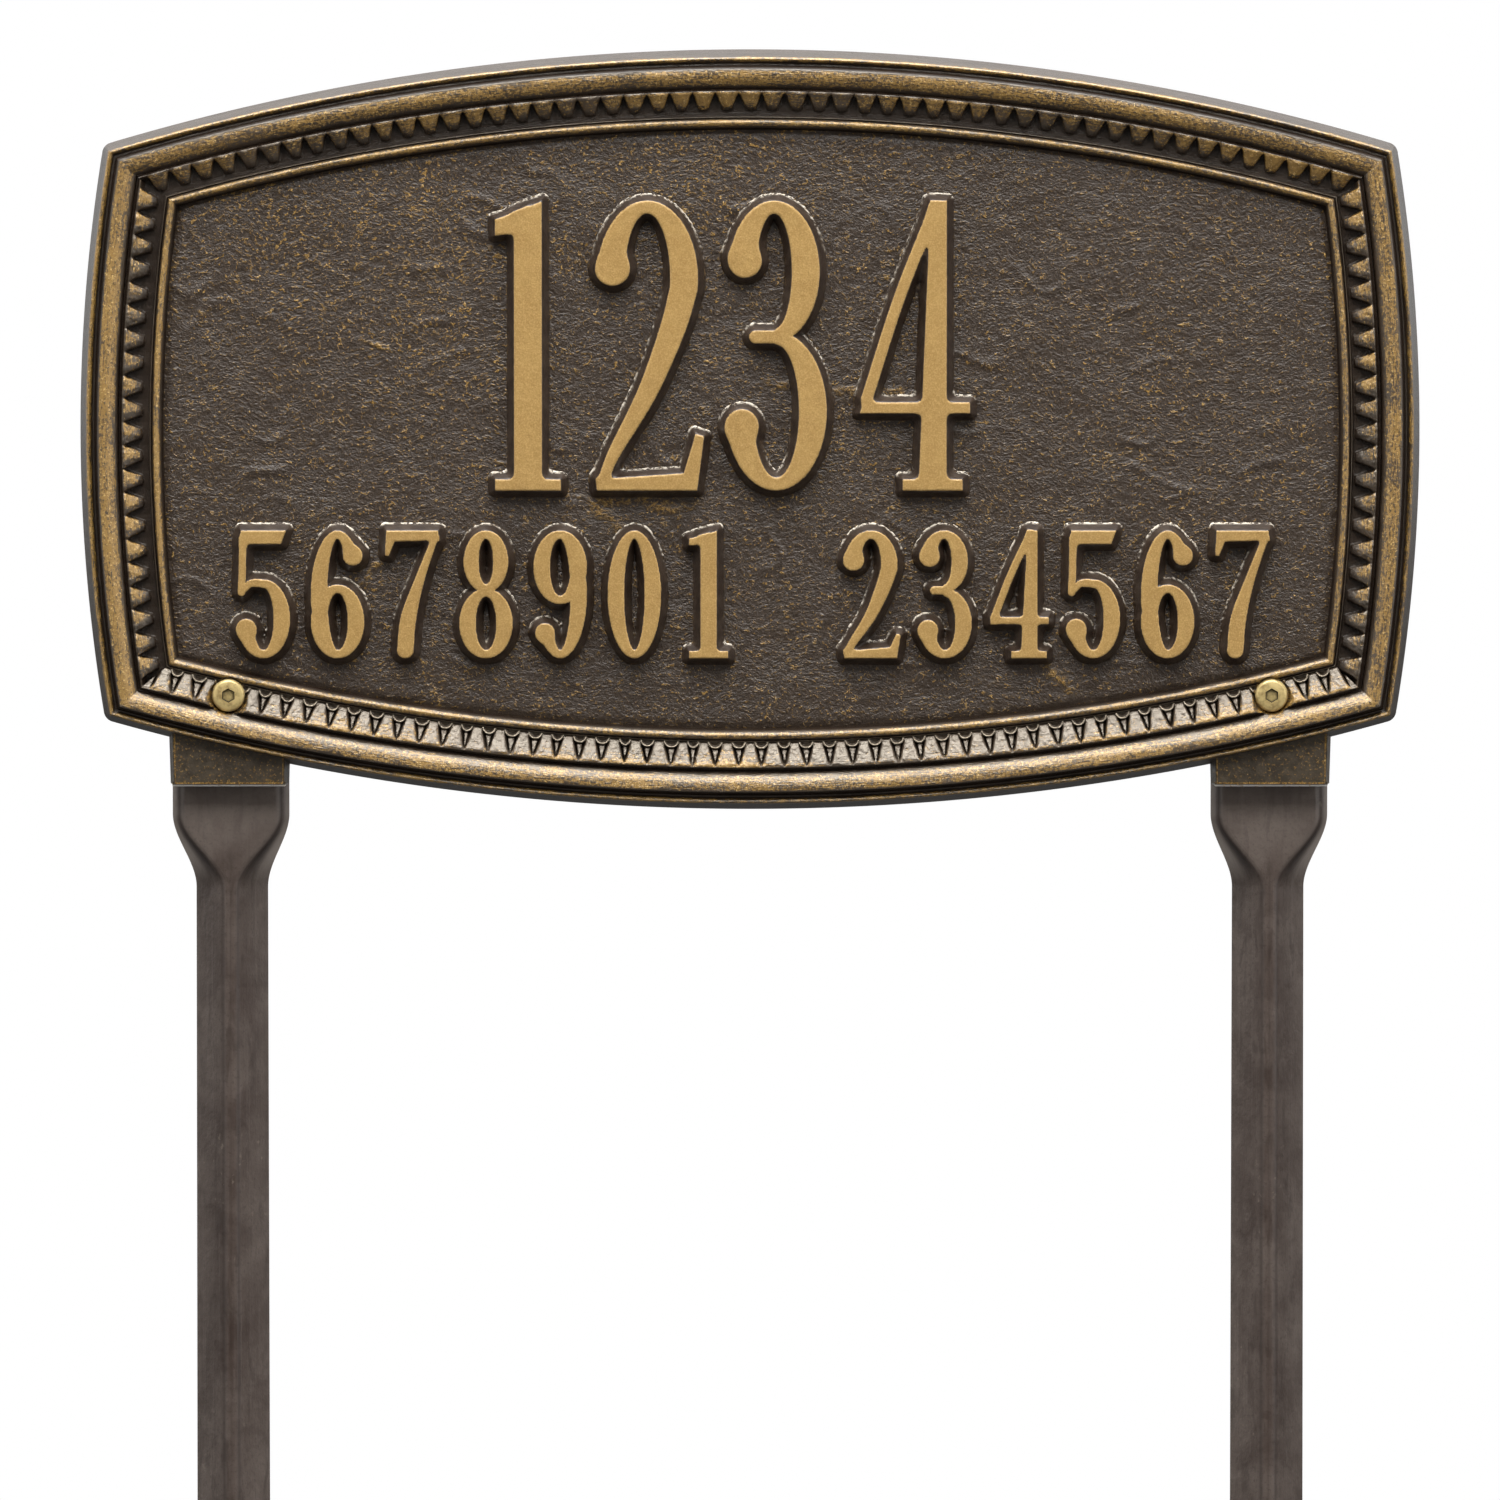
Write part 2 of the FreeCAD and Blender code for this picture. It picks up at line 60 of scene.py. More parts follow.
# lugs
LUG_Z = PLAQUE_Z - 95
LUG_TOP_Z = PLAQUE_Z - 78
LUG_HALF_WIDTH, LUG_LEVEL, LUG_DRAFT, LUG_LIP = 16, 6.6, 1.28, 0.55
SEAT_Z, RIB_Z, SEAT_TOP_Z = PLAQUE_Z - 80, PLAQUE_Z - 76, PLAQUE_Z - 58
SEAT_HALF_WIDTH, SEAT_LEVEL, RIB_WIDTH, RIB_DEPTH = 19.275, 3.8, 3, 3.2
# numerals
NUMERAL_RELIEF, NUMERAL_WALL, NUMERAL_ROOT, NUMERAL_EDGE = 4.3, 1.55, 0.8, 0.42
# stakes
STAKE_X = 140
STAKE_GAUGE, FOLD_RADIUS = 1.9, 2.2
HEAD_Z, SHOULDER_Z, TIP_Z = LUG_Z + 34.1, LUG_Z - 8, -203.2
SHOULDER_LENGTH, POINT_LENGTH = 20.2, 42
# each in the head and in the blade
WEB_HALF_WIDTHS, STRIP_HALF_WIDTHS, FOLD_DEPTHS = (13.6, 2), (15.875, 9.85), (6, 12)
# screws, washers and nuts
SCREW_Z = PLAQUE_Z - 70.3
SPOTFACE_RADIUS, SPOTFACE_LEVEL = 4.85, 7.4
SOCKET_FLAT = 1.65
HEAD_RADIUS, HEAD_HEIGHT = 4.4, 2.2
THREAD_RADIUS, THREAD_DEPTH, THREAD_PITCH, SCREW_LENGTH = 2.4, 0.42, 0.8, 16
WASHER_BACK = 3.1
NUT_FLAT, NUT_BACK, NUT_CORNER = 4, 7.1, 4.1


# ---------- plain shapes and sums

def smooth(value, low, high):
    """0 below low, 1 above high, with an eased step between."""
    share = np.clip((value - low) / (high - low), 0, 1)
    return share * share * (3 - 2 * share)


def bell(value, width):
    """1 at 0, falling to nothing on both sides."""
    return np.exp(-(value / width) ** 2)


def trace(value, *points):
    """Straight lines through (value, result) points."""
    return np.interp(value, *zip(*points))


def gradient_noise(x, y, seed):
    """Smooth noise over a plane, about -0.7 to 0.7, with features one unit apart."""
    turns = np.random.default_rng(seed).uniform(0, 2 * np.pi, (256, 256))
    column, row = np.floor(x).astype(int), np.floor(y).astype(int)
    across, up = x - column, y - row

    def corner(dx, dy):
        turn = turns[(column + dx) % 256, (row + dy) % 256]
        return np.cos(turn) * (across - dx) + np.sin(turn) * (up - dy)

    u, v = smooth(across, 0, 1), smooth(up, 0, 1)
    low = corner(0, 0) * (1 - u) + corner(1, 0) * u
    high = corner(0, 1) * (1 - u) + corner(1, 1) * u
    return low * (1 - v) + high * v


def ripple(x, y, size, seed, height):
    """Noise over a plane, with features of that size and height."""
    return gradient_noise(x / size, y / size, seed) * height


def rounded_path(corners, steps=4, closed=False):
    """A path through (x, y, radius) corners with each one rounded off."""
    points = []
    count = len(corners)
    for number, (x, y, radius) in enumerate(corners):
        here = np.array([x, y], float)
        if radius == 0 or (not closed and number in (0, count - 1)):
            points.append(here)
            continue
        before = np.array(corners[number - 1][:2], float) - here
        after = np.array(corners[(number + 1) % count][:2], float) - here
        reach = min(radius, 0.49 * np.linalg.norm(before), 0.49 * np.linalg.norm(after))
        start = here + before / np.linalg.norm(before) * reach
        end = here + after / np.linalg.norm(after) * reach
        for share in np.linspace(0, 1, steps + 1):
            points.append(start * (1 - share) ** 2 + here * 2 * share * (1 - share) + end * share ** 2)
    return np.array(points)


# ---------- pieces

def grid_quads(rows, columns, ring=False, tube=False):
    """The quads of a grid of points. ring closes it from the last row to the first, tube from the last column."""
    i, j = np.meshgrid(np.arange(rows - (not ring)), np.arange(columns - (not tube)), indexing="ij")
    i, j = i.ravel(), j.ravel()
    following, beside = (i + 1) % rows, (j + 1) % columns
    return np.stack([i * columns + j, following * columns + j, following * columns + beside, i * columns + beside], 1)


def add_object(name, data):
    made = bpy.data.objects.new(name, data)
    bpy.context.scene.collection.objects.link(made)
    return made


def add_piece(name, mesh, material, sharp):
    """Makes a mesh a smooth-shaded piece of the part."""
    mesh.shade_smooth()
    mesh.set_sharp_from_angle(angle=math.radians(sharp))
    mesh.materials.append(material)
    piece = add_object(name, mesh)
    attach(piece, "root")
    return piece


def make_piece(name, points, quads, material, sharp=40, values=None, closed=False, weld=False):
    """A piece from points in millimetres. values are numbers, or a grid of vectors, kept at its points."""
    points = np.reshape(points, (-1, 3)) * MM
    mesh = bpy.data.meshes.new(name)
    mesh.vertices.add(len(points))
    mesh.vertices.foreach_set("co", points.ravel())
    mesh.loops.add(quads.size)
    mesh.loops.foreach_set("vertex_index", quads.ravel())
    mesh.polygons.add(len(quads))
    mesh.polygons.foreach_set("loop_start", np.arange(len(quads)) * 4)
    mesh.update(calc_edges=True)
    for key, value in (values or {}).items():
        kind, field = ("FLOAT_VECTOR", "vector") if np.ndim(value) == 3 else ("FLOAT", "value")
        mesh.attributes.new(key, kind, "POINT").data.foreach_set(field, np.asarray(value, np.float32).ravel())
    mesh.validate()
    if closed:
        work = bmesh.new()
        work.from_mesh(mesh)
        if weld:
            bmesh.ops.remove_doubles(work, verts=work.verts, dist=0.01 * MM)
        bmesh.ops.recalc_face_normals(work, faces=work.faces)
        work.to_mesh(mesh)
        work.free()
    return add_piece(name, mesh, material, sharp)


# ---------- plaque outline

class Side:
    """One arc of the plaque's outline. Headings run anticlockwise from straight up.

    widening: how much further in the bead stands. teeth: the inset where they start, and their length. cut: how crisp
    the ornament between them is. crowning: how far a plain tooth falls off at its flanks. underside: the sign, along
    the side, of a tooth's lower flank, which is given painted shade. gilding_and_light: the side's share of gold,
    raised on the left to stand in for stronger light on that side.
    """

    def __init__(self, name, heading, half_chord, corner_offset, rise, widening, teeth, gilding_and_light=1, cut=0,
                 crowning=0.45, underside=0):
        self.name, self.heading, self.half_chord = name, math.radians(heading), half_chord
        self.radius = (half_chord ** 2 + rise ** 2) / (2 * rise)
        self.out = np.array([-math.sin(self.heading), math.cos(self.heading)])
        self.centre = self.out * (corner_offset + rise - self.radius)
        self.widening, self.gilding_and_light = widening, gilding_and_light
        self.teeth_start, self.teeth_length = teeth
        self.cut, self.crowning, self.underside = cut, crowning, underside

    def reach(self, inset):
        """The arc's radius at an inset."""
        return self.radius - inset - self.widening * smooth(inset, BAND_INSET, BEAD_INSET)

    def place(self, turn, inset):
        """Points on the side, by the turn from its middle and the inset."""
        reach = self.reach(inset)
        return np.stack([
            self.centre[0] - np.sin(self.heading + turn) * reach,
            self.centre[1] + np.cos(self.heading + turn) * reach,
        ], -1)

    def turn_of(self, point):
        away = point - self.centre
        turn = np.arctan2(-away[..., 0], away[..., 1]) - self.heading
        return (turn + np.pi) % (2 * np.pi) - np.pi


# the left side's extra gold stands in partly for stronger light on that side
SIDES = [
    Side("top", 0, HALF_WIDTH, HALF_HEIGHT, TOP_RISE, -0.4, (10.8, 5.9), crowning=1),
    Side("left", 90, HALF_HEIGHT, HALF_WIDTH, SIDE_RISE, 0.7, (11.5, 5.2), gilding_and_light=1.08, underside=1),
    Side("bottom", 180, HALF_WIDTH, HALF_HEIGHT, BOTTOM_RISE, 0.2, (11.3, 6.9), cut=1),
    Side("right", 270, HALF_HEIGHT, HALF_WIDTH, SIDE_RISE, 0.1, (11.6, 6), underside=-1),
]


def mitre(first, second, inset):
    """Where two neighbouring sides meet at each of some insets."""
    r0, r1 = first.reach(inset), second.reach(inset)
    line = second.centre - first.centre
    gap = np.linalg.norm(line)
    along = (r0 ** 2 - r1 ** 2 + gap ** 2) / (2 * gap)
    off = np.sqrt(r0 ** 2 - along ** 2)
    unit = line / gap
    normal = np.array([-unit[1], unit[0]])
    middle = first.centre + unit * along[..., None]
    choices = [middle + normal * off[..., None] * sign for sign in (1, -1)]
    corner = (first.out + second.out) * np.array([HALF_WIDTH, HALF_HEIGHT])
    near = [np.linalg.norm(choice - corner, axis=-1) for choice in choices]
    return np.where((near[0] < near[1])[..., None], choices[0], choices[1])


def side_grid(side, insets, shares):
    """Places along a side and their turns: one row for each share of its length, one column for each inset."""
    number = SIDES.index(side)
    start = side.turn_of(mitre(SIDES[number - 1], side, insets))
    end = side.turn_of(mitre(side, SIDES[(number + 1) % 4], insets))
    turns = start + (end - start) * shares[:, None]
    return side.place(turns, insets), turns


def screw_cut(places, levels):
    """Sinks the levels round each screw to a flared spot face."""
    for x in (-STAKE_X, STAKE_X):
        distance = np.linalg.norm(places - np.array([x, SCREW_Z - PLAQUE_Z]), axis=-1)
        out = np.maximum(distance - SPOTFACE_RADIUS, 0)
        levels = np.minimum(levels, SPOTFACE_LEVEL + np.minimum(out * 8, 1.7 + out * 1.4))
    return levels


def to_points(places, levels):
    """Places on the plaque and their levels as points in the frame."""
    flat = places.reshape(-1, 2)
    return np.stack([flat[:, 0], -np.ravel(levels), flat[:, 1] + PLAQUE_Z], 1)


# ---------- materials. A colour is three screen values of 0 to 255.

PAINT_DARK, PAINT = (45, 35, 26), (66, 53, 41)
GOLD_DARK, GOLD, GOLD_PALE = (78, 55, 25), (151, 116, 54), (214, 178, 110)


def linear(color):
    values = [value / 255 for value in color]
    return (*(v / 12.92 if v <= 0.04045 else ((v + 0.055) / 1.055) ** 2.4 for v in values), 1)


class Shader:
    """A material or a world that is built from nodes. Most methods give the socket of a new node."""

    def __init__(self, name, kind="materials", surface="Principled BSDF"):
        self.holder = getattr(bpy.data, kind).new(name)
        self.holder.use_nodes = True
        self.tree = self.holder.node_tree
        self.surface = self.tree.nodes[surface]
        self.coordinates = self.node("TexCoord").outputs
        self.place = self.coordinates["Object"]

    def node(self, kind, inputs=None, **settings):
        made = self.tree.nodes.new("ShaderNode" + kind)
        for key, value in settings.items():
            setattr(made, key, value)
        for key, value in (inputs or {}).items():
            self.feed(made.inputs[key], value)
        return made

    def feed(self, socket, value):
        if isinstance(value, bpy.types.NodeSocket):
            self.tree.links.new(value, socket)
        else:
            socket.default_value = linear(value) if socket.type == "RGBA" and len(value) == 3 else value

    def calc(self, operation, first, second=0):
        return self.node("Math", {0: first, 1: second}, operation=operation).outputs[0]

    def times(self, first, second):
        return self.calc("MULTIPLY", first, second)

    def most(self, first, second):
        return self.calc("MAXIMUM", first, second)

    def off(self, value, middle=0):
        """How far a value is from a middle."""
        return self.calc("ABSOLUTE", self.calc("SUBTRACT", value, middle))

    def blend(self, first, *others):
        """The first value plus each (value, weight) of the others."""
        for value, weight in others:
            first = self.calc("ADD", first, self.times(value, weight))
        return first

    def step(self, value, low, high, bottom=0, top=1):
        return self.node("MapRange", {
            "Value": value, "From Min": low, "From Max": high, "To Min": bottom, "To Max": top,
        }, interpolation_type="SMOOTHSTEP").outputs["Result"]

    def noise(self, scale, detail=3, roughness=0.55, distortion=0, place=None, output="Fac"):
        return self.node("TexNoise", {
            "Vector": place or self.place, "Scale": scale, "Detail": detail, "Roughness": roughness,
            "Distortion": distortion,
        }).outputs[output]

    def mapped(self, scale, source=None, turn=(0, 0, 0)):
        return self.node("Mapping", {
            "Vector": source or self.place, "Rotation": turn, "Scale": scale,
        }).outputs["Vector"]

    def split(self, vector):
        return self.node("SeparateXYZ", {"Vector": vector}).outputs

    def mix(self, share, first, second):
        return self.node("Mix", {0: share, 6: first, 7: second}, data_type="RGBA").outputs[2]

    def coats(self, color, *coats):
        """A colour under (share, colour) coats, one on the other."""
        for share, coat in coats:
            color = self.mix(share, color, coat)
        return color

    def attribute(self, name, output="Fac"):
        return self.node("Attribute", attribute_name=name, attribute_type="GEOMETRY").outputs[output]

    def bump(self, height, distance, strength=1, under=None):
        made = self.node("Bump", {"Height": height, "Distance": distance, "Strength": strength})
        if under:
            self.feed(made.inputs["Normal"], under)
        return made.outputs["Normal"]

    def finish(self, **inputs):
        """Feeds the surface and gives the material or world."""
        for key, value in inputs.items():
            self.feed(self.surface.inputs[key.replace("_", " ")], value)
        return self.holder


def finish_casting(mat, gold, normal, paint, thick=None, sheen=0.417, tint=(1, 0.984, 0.962, 1), coat=0.055):
    """Paint with gold over it, by a mask of 0 to 1, under clear lacquer. thick is where the gold is at its best."""
    tone = mat.noise(1500, 3, 0.8)
    gilt = mat.coats(GOLD_DARK, (thick or mat.step(tone, 0.36, 0.54), GOLD), (mat.step(tone, 0.56, 0.66), GOLD_PALE))
    return mat.finish(
        Base_Color=mat.mix(gold, paint, gilt), Roughness=mat.step(gold, 0, 1, 0.34, 0.42),
        Metallic=mat.step(gold, 0, 1, 0, 0.15), Specular_IOR_Level=sheen, Specular_Tint=tint, Coat_Weight=coat,
        IOR=1.6, Coat_IOR=1.65, Coat_Roughness=0.24, Normal=normal, Coat_Normal=normal,
    )


def frame_material():
    """Cast moulding: gold dragged along its high places by a dry brush, dark paint left in its grooves.

    It reads gold, bare for the rubbed outer edge, deep for painted shade in grooves and recesses (and,
    below 0, for painted highlights), and flow: the way along, the inset and the level.
    """
    mat = Shader("dry_brushed_moulding")
    flow, amount = mat.attribute("flow", "Vector"), mat.attribute("gold")
    bare, deep = mat.attribute("bare"), mat.attribute("deep")
    along = mat.noise(1, 4, 0.6, 0.3, mat.mapped((0.16, 3, 1.2), flow))
    scratch = mat.noise(1, 4, 0.65, 0.3, mat.mapped((0.5, 3.2, 1), flow, (0, 0, 0.62)))
    rubbed = mat.noise(1, 4, 0.6, 0, mat.mapped((0.05, 2.5, 2.5), flow))
    grain = mat.noise(1200, 3, 0.7)
    mask = mat.blend(scratch, (along, 0.6), (grain, 1.2), (mat.noise(75, 3), 0.6))
    excess = mat.calc("SUBTRACT", mat.blend(0.87, (amount, 0.94)), mask)
    gold = mat.times(mat.step(excess, -0.05, 0.08), mat.step(amount, 0.02, 0.2))
    edge = mat.mix(mat.step(rubbed, 0.35, 0.65), (52, 45, 39), (74, 66, 59))
    # the (30, 22, 16) coat is painted shade in grooves and recesses, the (206, 192, 170) coat a painted highlight
    paint = mat.coats(
        PAINT_DARK, (mat.step(mat.noise(70, 5, 0.6), 0.35, 0.7), PAINT), (bare, edge), (deep, (30, 22, 16)),
        (mat.step(deep, -0.4, -0.9), (206, 192, 170)))
    height = mat.blend(mat.noise(900, 4, 0.6), (along, 0.5), (scratch, 0.7), (grain, 0.6))
    gloss = mat.times(mat.step(bare, 0, 1, 0.9, 0.15), mat.step(deep, 0, 1, 1, 0))
    sheen = mat.times(mat.step(gloss, 0, 1, 0.4, 1), mat.step(deep, 0, 1, 1, 0.1))
    return finish_casting(mat, gold, mat.bump(height, 0.00018), paint, mat.step(excess, -0.02, 0.24), sheen,
                          mat.mix(gloss, (1, 1, 1, 1), (1, 0.84, 0.62, 1)), mat.times(gloss, 0.55))


def panel_material():
    """Cast field: leathery pebbles and wrinkles, with gold caught on the high specks."""
    mat = Shader("pebbled_field")
    bend = mat.noise(45, 3, 0.5, output="Color")
    shift = mat.node("VectorMath", {0: bend, "Scale": 0.008}, operation="SCALE").outputs[0]
    warped = mat.node("VectorMath", {0: mat.place, 1: shift}, operation="ADD").outputs[0]
    grain_way = mat.mapped((0.85, 1, 1.15), warped, (0, math.radians(36), 0))
    pebble = mat.noise(1100, 2.5, 0.6, 0.2, grain_way)
    worm = mat.noise(520, 1.5, 0.5, 0.4, grain_way)
    scatter = mat.noise(420, 3, 0.6, 0.2, grain_way)
    fine = mat.noise(2600, 3, 0.6)
    # more gold in patches, higher up and further to the left
    at = mat.split(mat.place)
    dense = mat.step(mat.blend(mat.times(mat.noise(9, 1), 0.4), (mat.noise(40, 3, 0.6), 0.6)), 0.4, 0.62)
    dense = mat.times(dense, mat.step(at["Z"], 0.25, 0.34, 0.25, 1))
    dense = mat.times(dense, mat.step(at["X"], -0.06, 0.1, 1, 0.4))
    specks = mat.step(mat.blend(pebble, (dense, 0.06)), 0.615, 0.675)
    ridge = mat.step(mat.off(worm, 0.5), 0.04, 0)
    strokes = mat.times(ridge, mat.step(scatter, 0.54, 0.62))
    cracks = mat.node("TexVoronoi", {"Vector": warped, "Scale": 11}, feature="DISTANCE_TO_EDGE")
    crack = mat.times(mat.step(cracks.outputs["Distance"], 0, 0.009, 1, 0), mat.step(mat.noise(26, 2), 0.56, 0.62))
    gold = mat.most(specks, mat.times(strokes, 0.9))
    gold = mat.most(gold, mat.times(crack, mat.step(pebble, 0.42, 0.56)))
    gold = mat.times(gold, mat.step(mat.noise(230, 2, 0.6), 0.35, 0.62, 0.45, 1))
    height = mat.blend(pebble, (strokes, 0.4), (crack, 0.5), (fine, 0.25), (scatter, 0.8))
    paint = mat.mix(mat.step(fine, 0.3, 0.7), (45, 35, 27), (66, 54, 43))
    return finish_casting(mat, gold, mat.bump(height, 0.00038), paint)


def lug_material():
    """Dark paint, gold where the brush caught the front face's edges, and a painted highlight along the lower lip."""
    mat = Shader("dark_lug")
    grain = mat.noise(1400, 3, 0.6)
    at = mat.split(mat.place)
    aside = mat.off(mat.off(at["X"]), STAKE_X * MM)
    beside = mat.step(aside, 14.2 * MM, 14.5 * MM)
    below = mat.step(at["Z"], (LUG_Z + 1.35) * MM, (LUG_Z + 1.05) * MM)
    front = mat.step(at["Y"], (0.2 - LUG_LEVEL) * MM, (0.1 - LUG_LEVEL) * MM)
    worn = mat.times(mat.most(beside, below), front)
    gold = mat.most(mat.times(worn, mat.step(grain, 0.42, 0.5, 0.3, 1)), mat.times(mat.step(grain, 0.57, 0.64), 0.6))
    # a pale strip along the lug's lower edge is a painted highlight
    lip_highlight = mat.step(at["Z"], (LUG_Z + 0.6) * MM, (LUG_Z + 0.5) * MM)
    stain = mat.step(mat.noise(400, 4, 0.6), 0.35, 0.7)
    paint = mat.coats((56, 48, 38), (stain, (76, 67, 54)), (lip_highlight, (164, 160, 155)))
    return finish_casting(mat, gold, mat.bump(mat.noise(700, 4, 0.6), 0.0004, 0.7), paint)


def numeral_material():
    """Gold enamel on the faces, dark walls below them, and a painted highlight on the upward-facing roots."""
    mat = Shader("gilded_numeral")
    amount, root = mat.attribute("gold"), mat.attribute("root")
    face = mat.step(mat.blend(amount, (mat.noise(600, 3), 0.35)), 0.55, 0.75)
    fleck = mat.times(mat.step(mat.noise(1100, 3), 0.58, 0.66), root)
    gold = mat.most(face, mat.times(fleck, 0.3))
    # a painted highlight as pale flecks on the roots where they face up
    upward = mat.step(mat.split(mat.node("NewGeometry").outputs["Normal"])["Z"], 0.1, 0.5)
    root_highlight = mat.times(mat.times(mat.step(mat.noise(900, 3, 0.7), 0.47, 0.53), root), upward)
    wall = mat.coats((46, 35, 27), (mat.step(mat.noise(300, 3), 0.35, 0.7), (66, 54, 44)), (root_highlight, (232, 222, 204)))
    gilt = mat.coats((163, 128, 72), (mat.step(mat.noise(240, 5, 0.65), 0.3, 0.75), (175, 140, 81)),
                     (mat.step(mat.noise(2400, 2), 0.4, 0.7, 0, 0.5), (202, 168, 108)))
    grit = mat.bump(mat.noise(1900, 3, 0.6), 0.00012, 0.6)
    normal = mat.bump(mat.noise(400, 3, 0.5), 0.00022, 0.6, grit)
    return mat.finish(
        Base_Color=mat.mix(gold, wall, gilt), Roughness=mat.step(gold, 0, 1, 0.32, 0.5),
        Metallic=mat.step(gold, 0, 1, 0, 0.15), Specular_IOR_Level=0.4, Coat_Weight=0.3, Coat_Roughness=0.2,
        Normal=normal, Coat_Normal=normal,
    )


def back_material():
    """The casting's rough back, in the same dark paint."""
    mat = Shader("sand_cast_back")
    lump = mat.noise(120, 3)
    normal = mat.bump(mat.noise(900, 4, 0.65), 0.0003, 0.7, mat.bump(lump, 0.0006, 0.5))
    return mat.finish(Base_Color=mat.mix(mat.step(lump, 0.35, 0.7), PAINT_DARK, PAINT), Roughness=0.5, Normal=normal)


def stake_material():
    """Satin dark paint on folded steel, scuffed and stained; painted shade in folds, painted light on flanges."""
    mat = Shader("satin_stake_paint")
    cloud = mat.noise(60, 5, 0.65, 0.4)
    lines = mat.noise(1, 4, 0.6, 0, mat.mapped((700, 700, 12)))
    stain = mat.noise(1, 4, 0.6, 0.6, mat.mapped((260, 260, 70)))
    scuff = mat.times(mat.step(mat.noise(420, 3), 0.62, 0.7), mat.step(mat.noise(26), 0.55, 0.65))
    color = mat.coats(
        (66, 54, 48),
        (mat.step(cloud, 0.3, 0.7), (92, 81, 74)),
        (mat.step(lines, 0.5, 0.75, 0, 0.4), (104, 94, 88)),
        (mat.step(stain, 0.5, 0.7, 0, 0.65), (54, 43, 37)),
        (mat.step(mat.noise(1100, 3, 0.6), 0.52, 0.68, 0, 0.45), (54, 44, 39)),
        # the pale coat is painted light and the dark coat after it painted shade
        (mat.attribute("pale"), (176, 164, 154)),
        (mat.attribute("fold"), (46, 36, 31)),
        (mat.times(scuff, 0.5), (126, 114, 102)),
    )
    normal = mat.bump(mat.noise(220, 4, 0.6), 0.0005, 0.5, mat.bump(lines, 0.0001, 0.6))
    roughness = mat.step(cloud, 0.3, 0.7, 0.36, 0.48)
    return mat.finish(Base_Color=color, Roughness=roughness, Specular_IOR_Level=0.4, Normal=normal)


def metal_material(name, color, worn, roughness, brush, metallic):
    """Bare metal with turned or drawn marks."""
    mat = Shader(name)
    marks = mat.noise(1, 4, 0.6, 0, mat.mapped(brush))
    # the (52, 40, 24) coat is painted shade in recesses such as a screw's socket
    tint = mat.coats(color, (mat.step(mat.noise(700, 4), 0.4, 0.75), worn), (mat.attribute("grime"), (52, 40, 24)))
    return mat.finish(
        Base_Color=tint, Metallic=metallic, Roughness=mat.step(marks, 0.3, 0.7, roughness - 0.06, roughness + 0.08),
        Normal=mat.bump(marks, 0.00003, 0.6),
    )


FRAME_PAINT = frame_material()
PANEL_PAINT = panel_material()
LUG_PAINT = lug_material()
NUMERAL_PAINT = numeral_material()
BACK_PAINT = back_material()
STAKE_PAINT = stake_material()
BRASS = metal_material("satin_brass", (210, 187, 128), (160, 134, 86), 0.34, (400, 4000, 400), 0.35)
PLATED = metal_material("plated_steel", (180, 180, 176), (140, 138, 132), 0.4, (900, 3000, 900), 0.85)


# ---------- casting: moulding, teeth, field and lugs

def moulding_section():
    """The moulding's section: a closed path of (inset, level), with shares of gold, rubbed edge and painted shade."""
    front = rounded_path([
        # outer edge, fillet and cove
        (0, 0, 0), (2, 8.5, 0.4), (2.15, 9.6, 0.3), (2.5, 9.95, 0.3), (3, 9.75, 0.3), (3.45, 9.1, 0.2),
        (3.7, 8.65, 0.3), (4.4, 8.8, 0.2),
        # torus and scotia
        (4.6, 10.2, 0.2), (4.75, 11.2, 0.2), (5.2, 11.75, 0.3), (6.4, 11.9, 0.6), (7.6, 11.75, 0.6), (8.4, 11.45, 0.6),
        (9.1, 11, 0.5), (9.8, 10.35, 0.5), (10.4, 9.6, 0.4), (10.8, 8.9, 0.3), (11, 7.6, 0.4), (11.8, 5.6, 0.5),
        # under the tooth band, quirk and bead
        (17.5, 5.2, 0.3), (17.9, 6.2, 0.2), (18.3, 7.6, 0.2), (18.55, 7.9, 0.15), (18.8, 7.4, 0.1), (19.05, 8.2, 0.2),
        (19.5, 8.95, 0.4), (20.2, 9.1, 0.5), (20.9, 8.6, 0.5), (21.3, 7.6, 0.4), (21.6, 6.4, 0.4),
        (FRAME_INSET, 5.2, 0),
    ], steps=3)
    back = rounded_path([
        (FRAME_INSET, BACK_LEVEL, 0), (12, BACK_LEVEL, 0.6), (9.9, 5.4, 0.8), (5.1, 5.4, 0.6), (4.5, 0, 0.3),
        (0.2, 0, 0),
    ])
    path = np.vstack([front, back])
    insets, on_front = path[:, 0], np.arange(len(path)) < len(front)
    gold = on_front * trace(
        insets, (0, 0), (1.7, 0.1), (1.95, 0.8), (2.1, 1), (2.8, 1), (3.35, 0.9), (3.6, 0.2), (4.4, 0.05),
        (4.8, 0.1), (5.2, 0.45), (5.8, 1), (8.4, 1), (9.2, 0.95), (9.7, 0.8), (10.2, 0.4), (10.6, 0.1), (12, 0),
        (18.9, 0), (19.1, 0.5), (19.4, 1), (20.7, 1), (21.2, 0.6), (21.7, 0))
    # painted shade in the cove, by the torus's outer wall, in the scotia and quirk, and by the field
    deep = trace(
        insets, (3.5, 0), (3.7, 0.6), (3.9, 0.3), (4.3, 0.8), (5, 0.9), (5.5, 0), (10.3, 0), (10.7, 0.7),
        (18, 0.8), (18.4, 0.1), (18.7, 0.1), (18.8, 0.9), (18.95, 0.9), (19.1, 0), (21.2, 0), (21.5, 0.8))
    bare = np.where((insets < 2.05) & on_front, 1, 0)
    return path, gold, bare, deep


